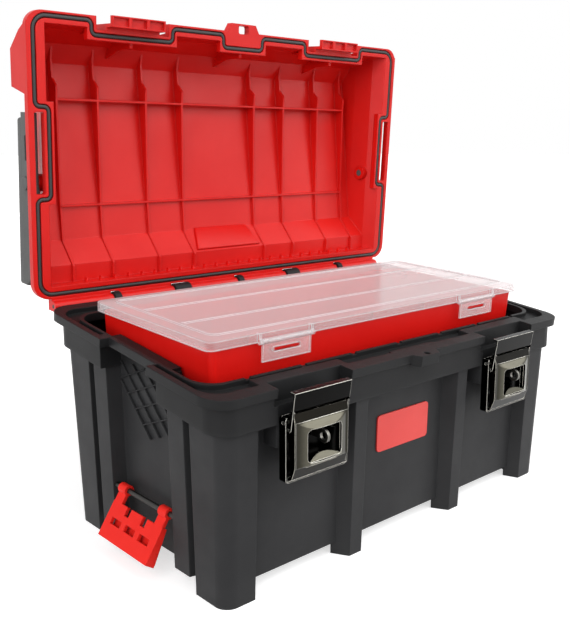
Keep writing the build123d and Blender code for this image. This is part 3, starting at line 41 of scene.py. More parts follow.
# Base tub
# One injection moulding in dark grey polypropylene: panels between pillars, a collar and an inclined rim.
# Its skin has a fine eroded grain, paler and shinier where it is rubbed, and a painted shade darkens the rim
# and collar.
def moulded_plastic(name, colour, pale, grain, depth, rough, edge, gloss):
    rub_swing = 0.07
    made = bpy.data.materials.new(name)
    made.use_nodes = True
    tree = made.node_tree
    skin = tree.nodes["Principled BSDF"]
    skin.inputs["Specular IOR Level"].default_value = gloss
    spot = tree.nodes.new("ShaderNodeTexCoord")

    cloud = tree.nodes.new("ShaderNodeTexNoise")
    cloud.inputs["Scale"].default_value = 14.0
    cloud.inputs["Detail"].default_value = 5.0
    cloud.inputs["Roughness"].default_value = 0.62
    tree.links.new(spot.outputs["Object"], cloud.inputs["Vector"])
    tint = tree.nodes.new("ShaderNodeValToRGB")
    tint.color_ramp.elements[0].position = 0.36
    tint.color_ramp.elements[0].color = (*colour, 1)
    tint.color_ramp.elements[1].position = 0.68
    tint.color_ramp.elements[1].color = (*pale, 1)
    tree.links.new(cloud.outputs["Fac"], tint.inputs["Fac"])
    tree.links.new(tint.outputs["Color"], skin.inputs["Base Color"])

    rubbed = tree.nodes.new("ShaderNodeMapRange")
    rubbed.inputs["From Min"].default_value = 0.3
    rubbed.inputs["From Max"].default_value = 0.7
    rubbed.inputs["To Min"].default_value = rough + rub_swing
    rubbed.inputs["To Max"].default_value = rough - rub_swing
    tree.links.new(cloud.outputs["Fac"], rubbed.inputs["Value"])
    tree.links.new(rubbed.outputs["Result"], skin.inputs["Roughness"])

    speck = tree.nodes.new("ShaderNodeTexNoise")
    speck.inputs["Scale"].default_value = grain
    speck.inputs["Detail"].default_value = 3.0
    tree.links.new(spot.outputs["Object"], speck.inputs["Vector"])
    rounded = tree.nodes.new("ShaderNodeBevel")
    rounded.samples = 4
    rounded.inputs["Radius"].default_value = edge
    bump = tree.nodes.new("ShaderNodeBump")
    bump.inputs["Strength"].default_value = 1.0
    bump.inputs["Distance"].default_value = depth
    tree.links.new(speck.outputs["Fac"], bump.inputs["Height"])
    tree.links.new(rounded.outputs["Normal"], bump.inputs["Normal"])
    tree.links.new(bump.outputs["Normal"], skin.inputs["Normal"])
    return made


def dress(material, *names):
    for name in names:
        nodes[name].data.materials.clear()
        nodes[name].data.materials.append(material)


# Painted shade: a darker grey is mixed into the rim and collar, above a line that follows the slope of the
# rim.
rim_slope = 0.127
collar_top, collar_foot = -0.172, -0.160
collar_painted_shade_grey = (0.0105, 0.0105, 0.011, 1)
grey_moulding = moulded_plastic(
    "grey_moulding", (0.019, 0.019, 0.020), (0.025, 0.025, 0.026),
    grain=1800, depth=0.00012, rough=0.48, edge=0.0014, gloss=0.14)
tree = grey_moulding.node_tree
skin = tree.nodes["Principled BSDF"]
spot = tree.nodes.new("ShaderNodeTexCoord")
under_rim = tree.nodes.new("ShaderNodeVectorMath")
under_rim.operation = "DOT_PRODUCT"
under_rim.inputs[1].default_value = (0, rim_slope, -1)
tree.links.new(spot.outputs["Object"], under_rim.inputs[0])
below_painted_shade = tree.nodes.new("ShaderNodeMapRange")
below_painted_shade.interpolation_type = "SMOOTHSTEP"
below_painted_shade.inputs["From Min"].default_value = collar_top
below_painted_shade.inputs["From Max"].default_value = collar_foot
tree.links.new(under_rim.outputs["Value"], below_painted_shade.inputs["Value"])
painted_collar_shade = tree.nodes.new("ShaderNodeMix")
painted_collar_shade.data_type = "RGBA"
painted_collar_shade.inputs["A"].default_value = collar_painted_shade_grey
tree.links.new(below_painted_shade.outputs["Result"], painted_collar_shade.inputs["Factor"])
tree.links.new(skin.inputs["Base Color"].links[0].from_socket, painted_collar_shade.inputs["B"])
tree.links.new(painted_collar_shade.outputs["Result"], skin.inputs["Base Color"])
dress(grey_moulding, "base_tub")


# Hand grip ribs
# Thin raised ribs that cross on each end panel of the tub, for a hold under the rim.
# They are moulded with the tub, in two sloping courses that stop at the edges of the grip.
def take(piece):
    bpy.ops.object.select_all(action="DESELECT")
    piece.select_set(True)
    bpy.context.view_layer.objects.active = piece


def joined(pieces, name):
    take(pieces[0])
    for piece in pieces:
        piece.select_set(True)
    bpy.ops.object.join()
    pieces[0].name = name
    return pieces[0]


def placed_copy(piece, name, move):
    copy = bpy.data.objects.new(name, piece.data.copy())
    copy.data.transform(move)
    if move.determinant() < 0:
        copy.data.flip_normals()
    bpy.context.scene.collection.objects.link(copy)
    return copy


other_end = Matrix.Diagonal((-1, 1, 1, 1))
rib_proud, rib_reach, rib_thickness, rib_edge = 0.0052, 0.16, 0.0013, 0.00035
rib_face = -0.2136
ribs_in_course = 6
rising_slope, rising_start, rising_step, rising_height = 0.98, 0.045, 0.020, 0.158
falling_slope, falling_start, falling_step, falling_place = -0.385, 0.1778, 0.0168, 0.044
grip_half, grip_top = 0.0447, 0.177
grip_back_low, grip_front_low = (0, 0.0455, 0.1575), (0, -0.001, 0.1125)

bpy.ops.mesh.primitive_cube_add(size=1)
one_rib = bpy.context.object
bpy.ops.object.mode_set(mode="EDIT")
bpy.ops.mesh.select_all(action="SELECT")
bpy.ops.transform.resize(value=(rib_proud, rib_reach, rib_thickness))
bpy.ops.mesh.bevel(offset=rib_edge, segments=2)
bpy.ops.object.mode_set(mode="OBJECT")
courses = []
for step in range(ribs_in_course):
    courses.append((rising_start - rising_step * step, rising_height, rising_slope))
    courses.append((falling_place, falling_start - falling_step * step, falling_slope))
crossing = []
for across, height, slope in courses:
    lean = Matrix.Rotation(math.atan(slope), 4, "X")
    crossing.append(placed_copy(one_rib, "rib", Matrix.Translation((rib_face, across, height)) @ lean))
bpy.data.objects.remove(one_rib)
left_ribs = joined(crossing, "left_grip_ribs")
bpy.ops.object.mode_set(mode="EDIT")
for edge, outward in (
        ((0, grip_half, 0), (0, 1, 0)),
        ((0, -grip_half, 0), (0, -1, 0)),
        ((0, 0, grip_top), (0, 0, 1)),
        (grip_back_low, (0, rising_slope, -1)),
        (grip_front_low, (0, falling_slope, -1))):
    bpy.ops.mesh.select_all(action="SELECT")
    bpy.ops.mesh.bisect(plane_co=edge, plane_no=outward, use_fill=True, clear_outer=True)
bpy.ops.object.mode_set(mode="OBJECT")
left_ribs.data.materials.append(grey_moulding)
right_ribs = placed_copy(left_ribs, "right_grip_ribs", other_end)
for piece in (left_ribs, right_ribs):
    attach(piece, "base")


# Hinge bosses
# Round bosses on the back rim that fill the hinge line where the lid lugs leave gaps.
# They are moulded with the tub, round the axis of the hinge rods.
def round_edges(piece, width, segments, least_angle=30):
    take(piece)
    rounding = piece.modifiers.new("rounding", "BEVEL")
    rounding.width, rounding.segments = width, segments
    rounding.limit_method, rounding.angle_limit = "ANGLE", math.radians(least_angle)
    bpy.ops.object.modifier_apply(modifier="rounding")


hinge_line_y, hinge_line_z = 0.1404, 0.215
boss_radius, boss_edge = 0.0074, 0.0007
knuckle_width, gap_width = 0.0076, 0.0205
boss_pitch = 0.081
bosses = []
for step, width in enumerate((knuckle_width, gap_width, knuckle_width, gap_width, knuckle_width), start=-2):
    bpy.ops.mesh.primitive_cylinder_add(vertices=32, radius=boss_radius, depth=width)
    boss = bpy.context.object
    bpy.ops.object.mode_set(mode="EDIT")
    bpy.ops.mesh.select_all(action="SELECT")
    bpy.ops.transform.rotate(value=math.radians(90), orient_axis="Y", center_override=(0, 0, 0))
    bpy.ops.transform.translate(value=(step * boss_pitch, hinge_line_y, hinge_line_z))
    bpy.ops.object.mode_set(mode="OBJECT")
    round_edges(boss, boss_edge, 3)
    bosses.append(boss)
hinge_bosses = joined(bosses, "hinge_bosses")
bpy.ops.object.shade_smooth_by_angle(angle=math.radians(40))
hinge_bosses.data.materials.append(grey_moulding)
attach(hinge_bosses, "base")

# Lid shell
# Red polypropylene moulding, a wedge with fins inside, standing open on its hinge lugs.
# It is smooth inside, with faint flow marks.
red_moulding = moulded_plastic(
    "red_moulding", (0.56, 0.0055, 0.004), (0.62, 0.009, 0.006),
    grain=1500, depth=0.00006, rough=0.36, edge=0.0014, gloss=0.24)
dress(red_moulding, "lid_shell")


# Gussets of the lid
# Tapered ribs behind the strikes and the lock eye, moulded with the lid, that run back along its front wall.
# Sizes count up the open lid from its hinge edge, and back from its rim.
def face_outwards(piece):
    take(piece)
    bpy.ops.object.mode_set(mode="EDIT")
    bpy.ops.mesh.select_all(action="SELECT")
    bpy.ops.mesh.normals_make_consistent(inside=False)
    bpy.ops.object.mode_set(mode="OBJECT")
    bpy.ops.object.shade_smooth_by_angle(angle=math.radians(40))


lid_lean, lid_rise = 0.0598, 0.9982
lid_edge_y, lid_edge_z = 0.14277, 0.22226
across_lid = Matrix((
    (1, 0, 0, 0),
    (0, -lid_lean, lid_rise, lid_edge_y),
    (0, lid_rise, lid_lean, lid_edge_z),
    (0, 0, 0, 1)))
latch_place = 0.138
strike_root, eye_root = 0.2538, 0.2575
gusset_thickness, gusset_edge = 0.0034, 0.0008
gusset_start, notch_end, lid_brow, gusset_end = 0.005, 0.0285, 0.046, 0.054
start_free_edge = 0.2412
notch_wall_edge, notch_free_edge = 0.2540, 0.2400
brow_wall_edge, brow_free_edge = 0.2465, 0.2345
end_wall_edge, end_free_edge = 0.2338, 0.2322
same_depth = 0.001
gussets = []
for middle, root in ((-latch_place, strike_root), (0, eye_root), (latch_place, strike_root)):
    bpy.ops.mesh.primitive_cube_add(size=1)
    gusset = bpy.context.object
    bpy.ops.object.mode_set(mode="EDIT")
    bpy.ops.mesh.select_all(action="SELECT")
    bpy.ops.transform.resize(value=(gusset_thickness, 1, gusset_end - gusset_start))
    bpy.ops.transform.translate(value=(middle, 0, (gusset_start + gusset_end) / 2))
    for depth in (notch_end, lid_brow):
        bpy.ops.mesh.select_all(action="SELECT")
        bpy.ops.mesh.bisect(plane_co=(0, 0, depth), plane_no=(0, 0, 1))
    bpy.ops.object.mode_set(mode="OBJECT")
    for point in gusset.data.vertices:
        for depth, wall_edge, free_edge in (
                (gusset_start, root, start_free_edge),
                (notch_end, notch_wall_edge, notch_free_edge),
                (lid_brow, brow_wall_edge, brow_free_edge),
                (gusset_end, end_wall_edge, end_free_edge)):
            if abs(point.co.z - depth) < same_depth:
                point.co.y = wall_edge if point.co.y > 0 else free_edge
    round_edges(gusset, gusset_edge, 3)
    gusset.data.transform(across_lid)
    gussets.append(gusset)
lid_gussets = joined(gussets, "lid_gussets")
face_outwards(lid_gussets)
lid_gussets.data.materials.append(red_moulding)
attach(lid_gussets, "lid")

# Pad of the lid
# Raised panel on the slope over the hinge, between the two middle fins.
# It is moulded with the lid, and narrower at its upper edge.
pad_width, pad_length, pad_thickness, pad_edge = 0.092, 0.0295, 0.0050, 0.0014
pad_taper = 0.80
pad_up, pad_back = 0.0412, 0.0264
slope_angle = math.radians(44.2)
bpy.ops.mesh.primitive_cube_add(size=1)
lid_pad = bpy.context.object
lid_pad.name = "lid_pad"
bpy.ops.object.mode_set(mode="EDIT")
bpy.ops.mesh.select_all(action="SELECT")
bpy.ops.transform.resize(value=(pad_width, pad_length, pad_thickness))
bpy.ops.object.mode_set(mode="OBJECT")
for point in lid_pad.data.vertices:
    if point.co.y > 0:
        point.co.x *= pad_taper
round_edges(lid_pad, pad_edge, 3)
on_slope = Matrix.Translation((0, pad_up, pad_back)) @ Matrix.Rotation(slope_angle, 4, "X")
lid_pad.data.transform(across_lid @ on_slope)
face_outwards(lid_pad)
lid_pad.data.materials.append(red_moulding)
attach(lid_pad, "lid")

# Teeth of the lid
# A row of small pointed ribs along the hinge wall of the lid, beside the seal.
# They are moulded with the lid.
tooth_width, tooth_height, tooth_depth, tooth_edge = 0.0034, 0.0070, 0.0050, 0.0003
tooth_taper = 0.25
tooth_count, tooth_pitch = 24, 0.0165
tooth_up, tooth_back = 0.0125, 0.0085
bpy.ops.mesh.primitive_cube_add(size=1)
one_tooth = bpy.context.object
bpy.ops.object.mode_set(mode="EDIT")
bpy.ops.mesh.select_all(action="SELECT")
bpy.ops.transform.resize(value=(tooth_width, tooth_height, tooth_depth))
bpy.ops.object.mode_set(mode="OBJECT")
for point in one_tooth.data.vertices:
    if point.co.y > 0:
        point.co.x *= tooth_taper
round_edges(one_tooth, tooth_edge, 2)
row = []
for step in range(tooth_count):
    along = tooth_pitch * (step - (tooth_count - 1) / 2)
    on_wall = Matrix.Translation((along, tooth_up, tooth_back))
    row.append(placed_copy(one_tooth, "tooth", across_lid @ on_wall))
bpy.data.objects.remove(one_tooth)
lid_teeth = joined(row, "lid_teeth")
face_outwards(lid_teeth)
lid_teeth.data.materials.append(red_moulding)
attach(lid_teeth, "lid")

# Lid seal
# Dark grey rubber cord pressed into the groove of the lid rim.
# It is the CAD cord made thinner, with rounded edges, and takes its place.
cord_slimming, cord_edge = 0.0008, 0.0011
merge_distance = 0.00001
seal_rubber = moulded_plastic(
    "seal_rubber", (0.022, 0.022, 0.022), (0.034, 0.034, 0.034),
    grain=2500, depth=0.00005, rough=0.36, edge=0.0026, gloss=0.35)
dress(seal_rubber, "lid_seal")
cord = placed_copy(nodes["lid_seal"], "seal_cord", nodes["lid_seal"].matrix_world)
take(cord)
bpy.ops.object.mode_set(mode="EDIT")
bpy.ops.mesh.select_all(action="SELECT")
bpy.ops.mesh.remove_doubles(threshold=merge_distance)
bpy.ops.mesh.normals_make_consistent(inside=False)
bpy.ops.mesh.dissolve_limited(angle_limit=math.radians(2))
bpy.ops.transform.shrink_fatten(value=-cord_slimming, use_even_offset=True)
bpy.ops.object.mode_set(mode="OBJECT")
round_edges(cord, cord_edge, 3, least_angle=60)
bpy.ops.object.shade_smooth_by_angle(angle=math.radians(35))
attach(cord, "lid")
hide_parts("lid_seal")

# Carry handle and its pivots
# Dark grey bail moulding with a bar behind the lid.
# Its arms are clipped over two round pivots at the lid ends.
handle_moulding = moulded_plastic(
    "handle_moulding", (0.086, 0.086, 0.085), (0.106, 0.106, 0.104),
    grain=2000, depth=0.00010, rough=0.48, edge=0.0015, gloss=0.12)
dress(handle_moulding, "carry_handle", "handle_pivots")

# Back shells of the handle arms
# Rounded ribs along the back of both handle arms, which stiffen them.
# They are moulded with the handle, and get deeper towards its bar.
arm_place, arm_up, arm_back = 0.2395, 0.0905, 0.0340
arm_width, arm_length, arm_depth, arm_edge = 0.0078, 0.163, 0.0125, 0.0030
arm_knee = -0.012
knee_swell, bar_swell = 0.0030, 0.0052
near_knee = -0.05
bpy.ops.mesh.primitive_cube_add(size=1)
left_arm = bpy.context.object
left_arm.name = "left_arm_shell"
bpy.ops.object.mode_set(mode="EDIT")
bpy.ops.mesh.select_all(action="SELECT")
bpy.ops.transform.resize(value=(arm_width, arm_length, arm_depth))
bpy.ops.mesh.bisect(plane_co=(0, arm_knee, 0), plane_no=(0, 1, 0))
bpy.ops.object.mode_set(mode="OBJECT")
for point in left_arm.data.vertices:
    if point.co.z > 0 and point.co.y < 0:
        point.co.z += knee_swell if point.co.y > near_knee else bar_swell
bpy.ops.object.mode_set(mode="EDIT")
bpy.ops.mesh.select_all(action="SELECT")
bpy.ops.transform.translate(value=(-arm_place, arm_up, arm_back))
bpy.ops.mesh.bevel(offset=arm_edge, segments=4, affect="EDGES")
bpy.ops.object.mode_set(mode="OBJECT")
left_arm.data.transform(across_lid)
face_outwards(left_arm)
left_arm.data.materials.append(handle_moulding)
right_arm = placed_copy(left_arm, "right_arm_shell", Matrix.Translation((2 * arm_place, 0, 0)))
for piece in (left_arm, right_arm):
    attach(piece, "handle")


# Latches
# Pressed steel back plate, lever with a window and hook plate, pinned together and riveted to the tub.
# All have a dark bright plating, which is worn pale along the edges; on the plates and hooks it is made
# blacker still, a painted dark reflection.
def worn_rim(tree, radius, strength):
    rounded = tree.nodes.new("ShaderNodeBevel")
    rounded.samples = 6
    rounded.inputs["Radius"].default_value = radius
    flat = tree.nodes.new("ShaderNodeNewGeometry")
    turned = tree.nodes.new("ShaderNodeVectorMath")
    turned.operation = "DOT_PRODUCT"
    tree.links.new(rounded.outputs["Normal"], turned.inputs[0])
    tree.links.new(flat.outputs["Normal"], turned.inputs[1])
    rim = tree.nodes.new("ShaderNodeMapRange")
    rim.inputs["From Min"].default_value = 0.995
    rim.inputs["From Max"].default_value = 0.93
    rim.inputs["To Max"].default_value = strength
    tree.links.new(turned.outputs["Value"], rim.inputs["Value"])
    return rounded.outputs["Normal"], rim.outputs["Result"]


def plated_steel(name, colour, worn, rough, scratch, edge):
    streak_shade, haze_swing = 0.86, 0.14
    made = bpy.data.materials.new(name)
    made.use_nodes = True
    tree = made.node_tree
    skin = tree.nodes["Principled BSDF"]
    skin.inputs["Metallic"].default_value = 1.0
    spot = tree.nodes.new("ShaderNodeTexCoord")

    streak = tree.nodes.new("ShaderNodeMapping")
    streak.inputs["Scale"].default_value = (30, 400, 400)
    tree.links.new(spot.outputs["Object"], streak.inputs["Vector"])
    brush = tree.nodes.new("ShaderNodeTexNoise")
    brush.inputs["Scale"].default_value = 3.0
    brush.inputs["Detail"].default_value = 4.0
    tree.links.new(streak.outputs["Vector"], brush.inputs["Vector"])
    tone = tree.nodes.new("ShaderNodeValToRGB")
    tone.color_ramp.elements[0].position = 0.3
    tone.color_ramp.elements[0].color = (*[streak_shade * share for share in colour], 1)
    tone.color_ramp.elements[1].position = 0.7
    tone.color_ramp.elements[1].color = (*colour, 1)
    tree.links.new(brush.outputs["Fac"], tone.inputs["Fac"])

    haze = tree.nodes.new("ShaderNodeTexNoise")
    haze.inputs["Scale"].default_value = 60.0
    tree.links.new(spot.outputs["Object"], haze.inputs["Vector"])
    dull = tree.nodes.new("ShaderNodeMapRange")
    dull.inputs["To Min"].default_value = rough
    dull.inputs["To Max"].default_value = rough + haze_swing
    tree.links.new(haze.outputs["Fac"], dull.inputs["Value"])
    tree.links.new(dull.outputs["Result"], skin.inputs["Roughness"])

    rounded_normal, rim = worn_rim(tree, edge, 1.0)
    polished = tree.nodes.new("ShaderNodeMix")
    polished.data_type = "RGBA"
    polished.inputs["B"].default_value = (*worn, 1)
    tree.links.new(rim, polished.inputs["Factor"])
    tree.links.new(tone.outputs["Color"], polished.inputs["A"])
    tree.links.new(polished.outputs["Result"], skin.inputs["Base Color"])
    bump = tree.nodes.new("ShaderNodeBump")
    bump.inputs["Distance"].default_value = scratch
    tree.links.new(brush.outputs["Fac"], bump.inputs["Height"])
    tree.links.new(rounded_normal, bump.inputs["Normal"])
    tree.links.new(bump.outputs["Normal"], skin.inputs["Normal"])
    return made


dark_plating = plated_steel(
    "dark_plating", (0.009, 0.0082, 0.0064), (0.50, 0.48, 0.42), rough=0.16, scratch=0.00001, edge=0.0007)
# The plates and hooks get a blacker copy of the plating, which paints in the dark reflection of their tilt.
plating_painted_dark_reflection = plated_steel(
    "plating_painted_dark_reflection", (0.0030, 0.0029, 0.0027), (0.62, 0.60, 0.55), rough=0.14, scratch=0.00001, edge=0.0007)
for hand in ("left", "right"):
    dress(dark_plating, hand + "_latch_lever")
    dress(plating_painted_dark_reflection, hand + "_latch_plate", hand + "_latch_hook")

# Domed faces of the levers
# Bright pressed shell on the front of each lever: a slope at its brow, a bulged body and a window.
# A painted shade darkens the plating towards the flanks, and the lower edge of the window is curled to a
# lip.
dome_half, dome_top, dome_height, dome_seat = 0.0296, 0.1522, 0.0385, -0.1406
dome_bulge, bulge_share, dome_blend = 0.0050, 0.9, 0.0004
brow_gap, brow_slope = 0.0012, 0.75
foot_rise, foot_slope = 0.0004, 2.2
window_shift, window_middle = 0.0006, 0.1308
window_width, window_height, window_reach, window_corner = 0.0395, 0.0285, 0.03, 0.0045
dome_sheet, lip_sheet = 0.0009, 0.0008
bpy.ops.mesh.primitive_grid_add(x_subdivisions=60, y_subdivisions=44, size=1)
dome = bpy.context.object
dome.name = "left_lever_dome"
bpy.ops.object.mode_set(mode="EDIT")
bpy.ops.mesh.select_all(action="SELECT")
bpy.ops.transform.resize(value=(2 * dome_half, dome_height, 1))
bpy.ops.transform.rotate(value=math.radians(90), orient_axis="X", center_override=(0, 0, 0))
bpy.ops.transform.translate(value=(0, dome_seat, dome_top - dome_height / 2))
bpy.ops.object.mode_set(mode="OBJECT")
for point in dome.data.vertices:
    across = min(1.0, abs(point.co.x) / dome_half)
    below_brow = dome_top - point.co.z
    above_foot = dome_height - below_brow
    rises = (
        max(0, dome_bulge * (1 - (across / bulge_share) ** 2)),
        max(0, brow_slope * (below_brow - brow_gap)),
        foot_rise + foot_slope * above_foot)
    point.co.y = dome_seat + dome_blend * math.log(sum(math.exp(-rise / dome_blend) for rise in rises))
bpy.ops.mesh.primitive_cube_add(
    size=1,
    location=(window_shift, dome_seat, window_middle),
    scale=(window_width, window_reach, window_height))
window_cutter = bpy.context.object
corners = window_cutter.modifiers.new("corners", "BEVEL")
corners.width, corners.segments = window_corner, 6
take(dome)
pressed_sheet = dome.modifiers.new("sheet", "SOLIDIFY")
pressed_sheet.thickness, pressed_sheet.offset = dome_sheet, 0
opening = dome.modifiers.new("window", "BOOLEAN")
opening.object, opening.solver = window_cutter, "EXACT"
for modifier in ("sheet", "window"):
    bpy.ops.object.modifier_apply(modifier=modifier)
bpy.data.objects.remove(window_cutter)
bpy.ops.object.shade_smooth_by_angle(angle=math.radians(32))

lip_width, lip_foot, lip_front = 0.037, 0.1172, 0.0040
lip_curl_back, lip_curl_up = 0.0050, 0.0046
bpy.ops.mesh.primitive_grid_add(x_subdivisions=24, y_subdivisions=6, size=1)
lip = bpy.context.object
lip.name = "left_window_lip"
for point in lip.data.vertices:
    back = (point.co.y + 0.5) * (1 - (2 * point.co.x) ** 2)
    point.co = (
        lip_width * point.co.x + window_shift,
        dome_seat - lip_front + lip_curl_back * back,
        lip_foot + lip_curl_up * back)
curled_sheet = lip.modifiers.new("sheet", "SOLIDIFY")
curled_sheet.thickness = lip_sheet
bpy.ops.object.modifier_apply(modifier="sheet")
bpy.ops.object.shade_smooth_by_angle(angle=math.radians(40))

bright_plating = plated_steel(
    "bright_plating", (0.100, 0.095, 0.074), (0.72, 0.70, 0.64), rough=0.13, scratch=0.00001, edge=0.0006)
# Painted shade: the base colour of each dome is scaled down towards its flanks.
flank_start, flank_end, flank_shade = 0.018, 0.0285, 0.32
tree = bright_plating.node_tree
skin = tree.nodes["Principled BSDF"]
spot = tree.nodes.new("ShaderNodeTexCoord")
axes = tree.nodes.new("ShaderNodeSeparateXYZ")
tree.links.new(spot.outputs["Object"], axes.inputs["Vector"])
from_middle = tree.nodes.new("ShaderNodeMath")
from_middle.operation = "ABSOLUTE"
tree.links.new(axes.outputs["X"], from_middle.inputs[0])
from_latch = tree.nodes.new("ShaderNodeMath")
from_latch.operation = "SUBTRACT"
from_latch.inputs[1].default_value = latch_place
tree.links.new(from_middle.outputs["Value"], from_latch.inputs[0])
to_flank = tree.nodes.new("ShaderNodeMath")
to_flank.operation = "ABSOLUTE"
tree.links.new(from_latch.outputs["Value"], to_flank.inputs[0])
flank_painted_shade = tree.nodes.new("ShaderNodeMapRange")
flank_painted_shade.interpolation_type = "SMOOTHSTEP"
flank_painted_shade.inputs["From Min"].default_value = flank_start
flank_painted_shade.inputs["From Max"].default_value = flank_end
flank_painted_shade.inputs["To Min"].default_value = 1.0
flank_painted_shade.inputs["To Max"].default_value = flank_shade
tree.links.new(to_flank.outputs["Value"], flank_painted_shade.inputs["Value"])
shaded = tree.nodes.new("ShaderNodeVectorMath")
shaded.operation = "SCALE"
tree.links.new(skin.inputs["Base Color"].links[0].from_socket, shaded.inputs[0])
tree.links.new(flank_painted_shade.outputs["Result"], shaded.inputs["Scale"])
tree.links.new(shaded.outputs["Vector"], skin.inputs["Base Color"])
for piece, stem in ((dome, "_lever_dome"), (lip, "_window_lip")):
    piece.data.materials.append(bright_plating)
    right_piece = placed_copy(piece, "right" + stem, Matrix.Translation((latch_place, 0, 0)))
    piece.data.transform(Matrix.Translation((-latch_place, 0, 0)))
    for pressing, hand in ((piece, "left"), (right_piece, "right")):
        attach(pressing, hand + "_lever")

# Folds of the hook plates
# The lower edge of each hook plate is rolled over.
# The roll is plated steel coloured bright, a painted highlight on the black plate, and shows as a round
# line.
fold_radius, fold_length, fold_edge = 0.0009, 0.0630, 0.0003
fold_y, fold_z = -0.1403, 0.1614
fold_painted_highlight = plated_steel(
    "fold_painted_highlight", (0.50, 0.48, 0.44), (0.7, 0.68, 0.62), rough=0.14, scratch=0.00001, edge=0.0002)
bpy.ops.mesh.primitive_cylinder_add(vertices=20, radius=fold_radius, depth=fold_length)
left_fold = bpy.context.object
left_fold.name = "left_hook_fold"
bpy.ops.object.mode_set(mode="EDIT")
bpy.ops.mesh.select_all(action="SELECT")
bpy.ops.transform.rotate(value=math.radians(90), orient_axis="Y", center_override=(0, 0, 0))
bpy.ops.mesh.bevel(offset=fold_edge, segments=3, affect="EDGES")
bpy.ops.transform.translate(value=(-latch_place, fold_y, fold_z))
bpy.ops.object.mode_set(mode="OBJECT")
bpy.ops.object.shade_smooth_by_angle(angle=math.radians(40))
left_fold.data.materials.append(fold_painted_highlight)
right_fold = placed_copy(left_fold, "right_hook_fold", Matrix.Translation((2 * latch_place, 0, 0)))
for piece, hand in ((left_fold, "left"), (right_fold, "right")):
    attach(piece, hand + "_hook")

# Pins, staples and rivets
# Drawn steel wire, bent or cut to length, and cold headed rivets.
# The pins of the lid hinge and of the clips have a dull dark finish.
bright_wire = plated_steel(
    "bright_wire", (0.15, 0.145, 0.13), (0.34, 0.33, 0.31), rough=0.28, scratch=0.00003, edge=0.0006)
dull_wire = plated_steel(
    "dull_wire", (0.06, 0.058, 0.055), (0.12, 0.12, 0.11), rough=0.34, scratch=0.00003, edge=0.0006)
for hand in ("left", "right"):
    dress(bright_wire, hand + "_lever_pin", hand + "_hook_pin", hand + "_staple")
    dress(dull_wire, hand + "_clip_pin")
dress(bright_wire, "latch_rivets", "organiser_hinge_pins")
dress(dull_wire, "hinge_pins")

# Stacking clips
# Red polypropylene mouldings that hold the case to a box below.
# Each swings on a steel pin at an end of the tub.
# Their red is paler than that of the lid and tray, a painted light that brightens the clips on the shaded
# ends.
clip_red_painted_light = moulded_plastic(
    "clip_red_painted_light", (0.74, 0.018, 0.012), (0.80, 0.024, 0.016),
    grain=1500, depth=0.00006, rough=0.40, edge=0.0010, gloss=0.14)
dress(clip_red_painted_light, "left_stack_clip", "right_stack_clip")

# Webs of the clips
# Thin wall behind the slots of each clip, which makes them shallow pockets.
# It is moulded with the clip and leans out with it.
web_thickness, web_width, web_height, web_edge = 0.0010, 0.0700, 0.0130, 0.0003
web_place, web_rise = 0.2333, 0.0286
clip_lean = math.radians(33)
bpy.ops.mesh.primitive_cube_add(size=1)
left_web = bpy.context.object
left_web.name = "left_clip_web"
bpy.ops.object.mode_set(mode="EDIT")
bpy.ops.mesh.select_all(action="SELECT")
bpy.ops.transform.resize(value=(web_thickness, web_width, web_height))
bpy.ops.mesh.bevel(offset=web_edge, segments=2, affect="EDGES")
bpy.ops.object.mode_set(mode="OBJECT")
left_web.data.transform(Matrix.Translation((-web_place, 0, web_rise)) @ Matrix.Rotation(clip_lean, 4, "Y"))
left_web.data.materials.append(clip_red_painted_light)
right_web = placed_copy(left_web, "right_clip_web", other_end)
for piece, hand in ((left_web, "left"), (right_web, "right")):
    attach(piece, hand + "_clip")

# Organiser tray and dividers
# Thin red polypropylene moulding that lifts out of the tub.
# It has fixed rows, and loose walls that drop in between them.
tray_moulding = moulded_plastic(
    "tray_moulding", (0.60, 0.006, 0.004), (0.66, 0.010, 0.007),
    grain=1500, depth=0.00004, rough=0.34, edge=0.0008, gloss=0.14)
dress(tray_moulding, "organiser_tray", "organiser_dividers")

# Organiser cover and tabs
# Clear moulded cover, slightly hazy, with a raised border and two snap tabs at the front.
# Its edges and the parts seen at a slant let less light through than its flat faces.
cover_tint, cover_rim_tint = (0.88, 0.80, 0.81, 1), (0.62, 0.61, 0.63, 1)
flat_cover, slant_cover, rim_cover = 0.13, 0.58, 0.92
cover_edge = 0.0011
clear_moulding = bpy.data.materials.new("clear_moulding")
clear_moulding.use_nodes = True
tree = clear_moulding.node_tree
skin = tree.nodes["Principled BSDF"]
skin.inputs["IOR"].default_value = 1.49
spot = tree.nodes.new("ShaderNodeTexCoord")
haze = tree.nodes.new("ShaderNodeTexNoise")
haze.inputs["Scale"].default_value = 35.0
haze.inputs["Detail"].default_value = 4.0
tree.links.new(spot.outputs["Object"], haze.inputs["Vector"])
dull = tree.nodes.new("ShaderNodeMapRange")
dull.inputs["To Min"].default_value = 0.10
dull.inputs["To Max"].default_value = 0.24
tree.links.new(haze.outputs["Fac"], dull.inputs["Value"])
tree.links.new(dull.outputs["Result"], skin.inputs["Roughness"])
rounded_normal, rim = worn_rim(tree, cover_edge, rim_cover)
tree.links.new(rounded_normal, skin.inputs["Normal"])
greyed = tree.nodes.new("ShaderNodeMix")
greyed.data_type = "RGBA"
greyed.inputs["A"].default_value = cover_tint
greyed.inputs["B"].default_value = cover_rim_tint
tree.links.new(rim, greyed.inputs["Factor"])
tree.links.new(greyed.outputs["Result"], skin.inputs["Base Color"])
slant = tree.nodes.new("ShaderNodeLayerWeight")
slant.inputs["Blend"].default_value = 0.35
cover_alpha = tree.nodes.new("ShaderNodeMapRange")
cover_alpha.inputs["To Min"].default_value = flat_cover
cover_alpha.inputs["To Max"].default_value = slant_cover
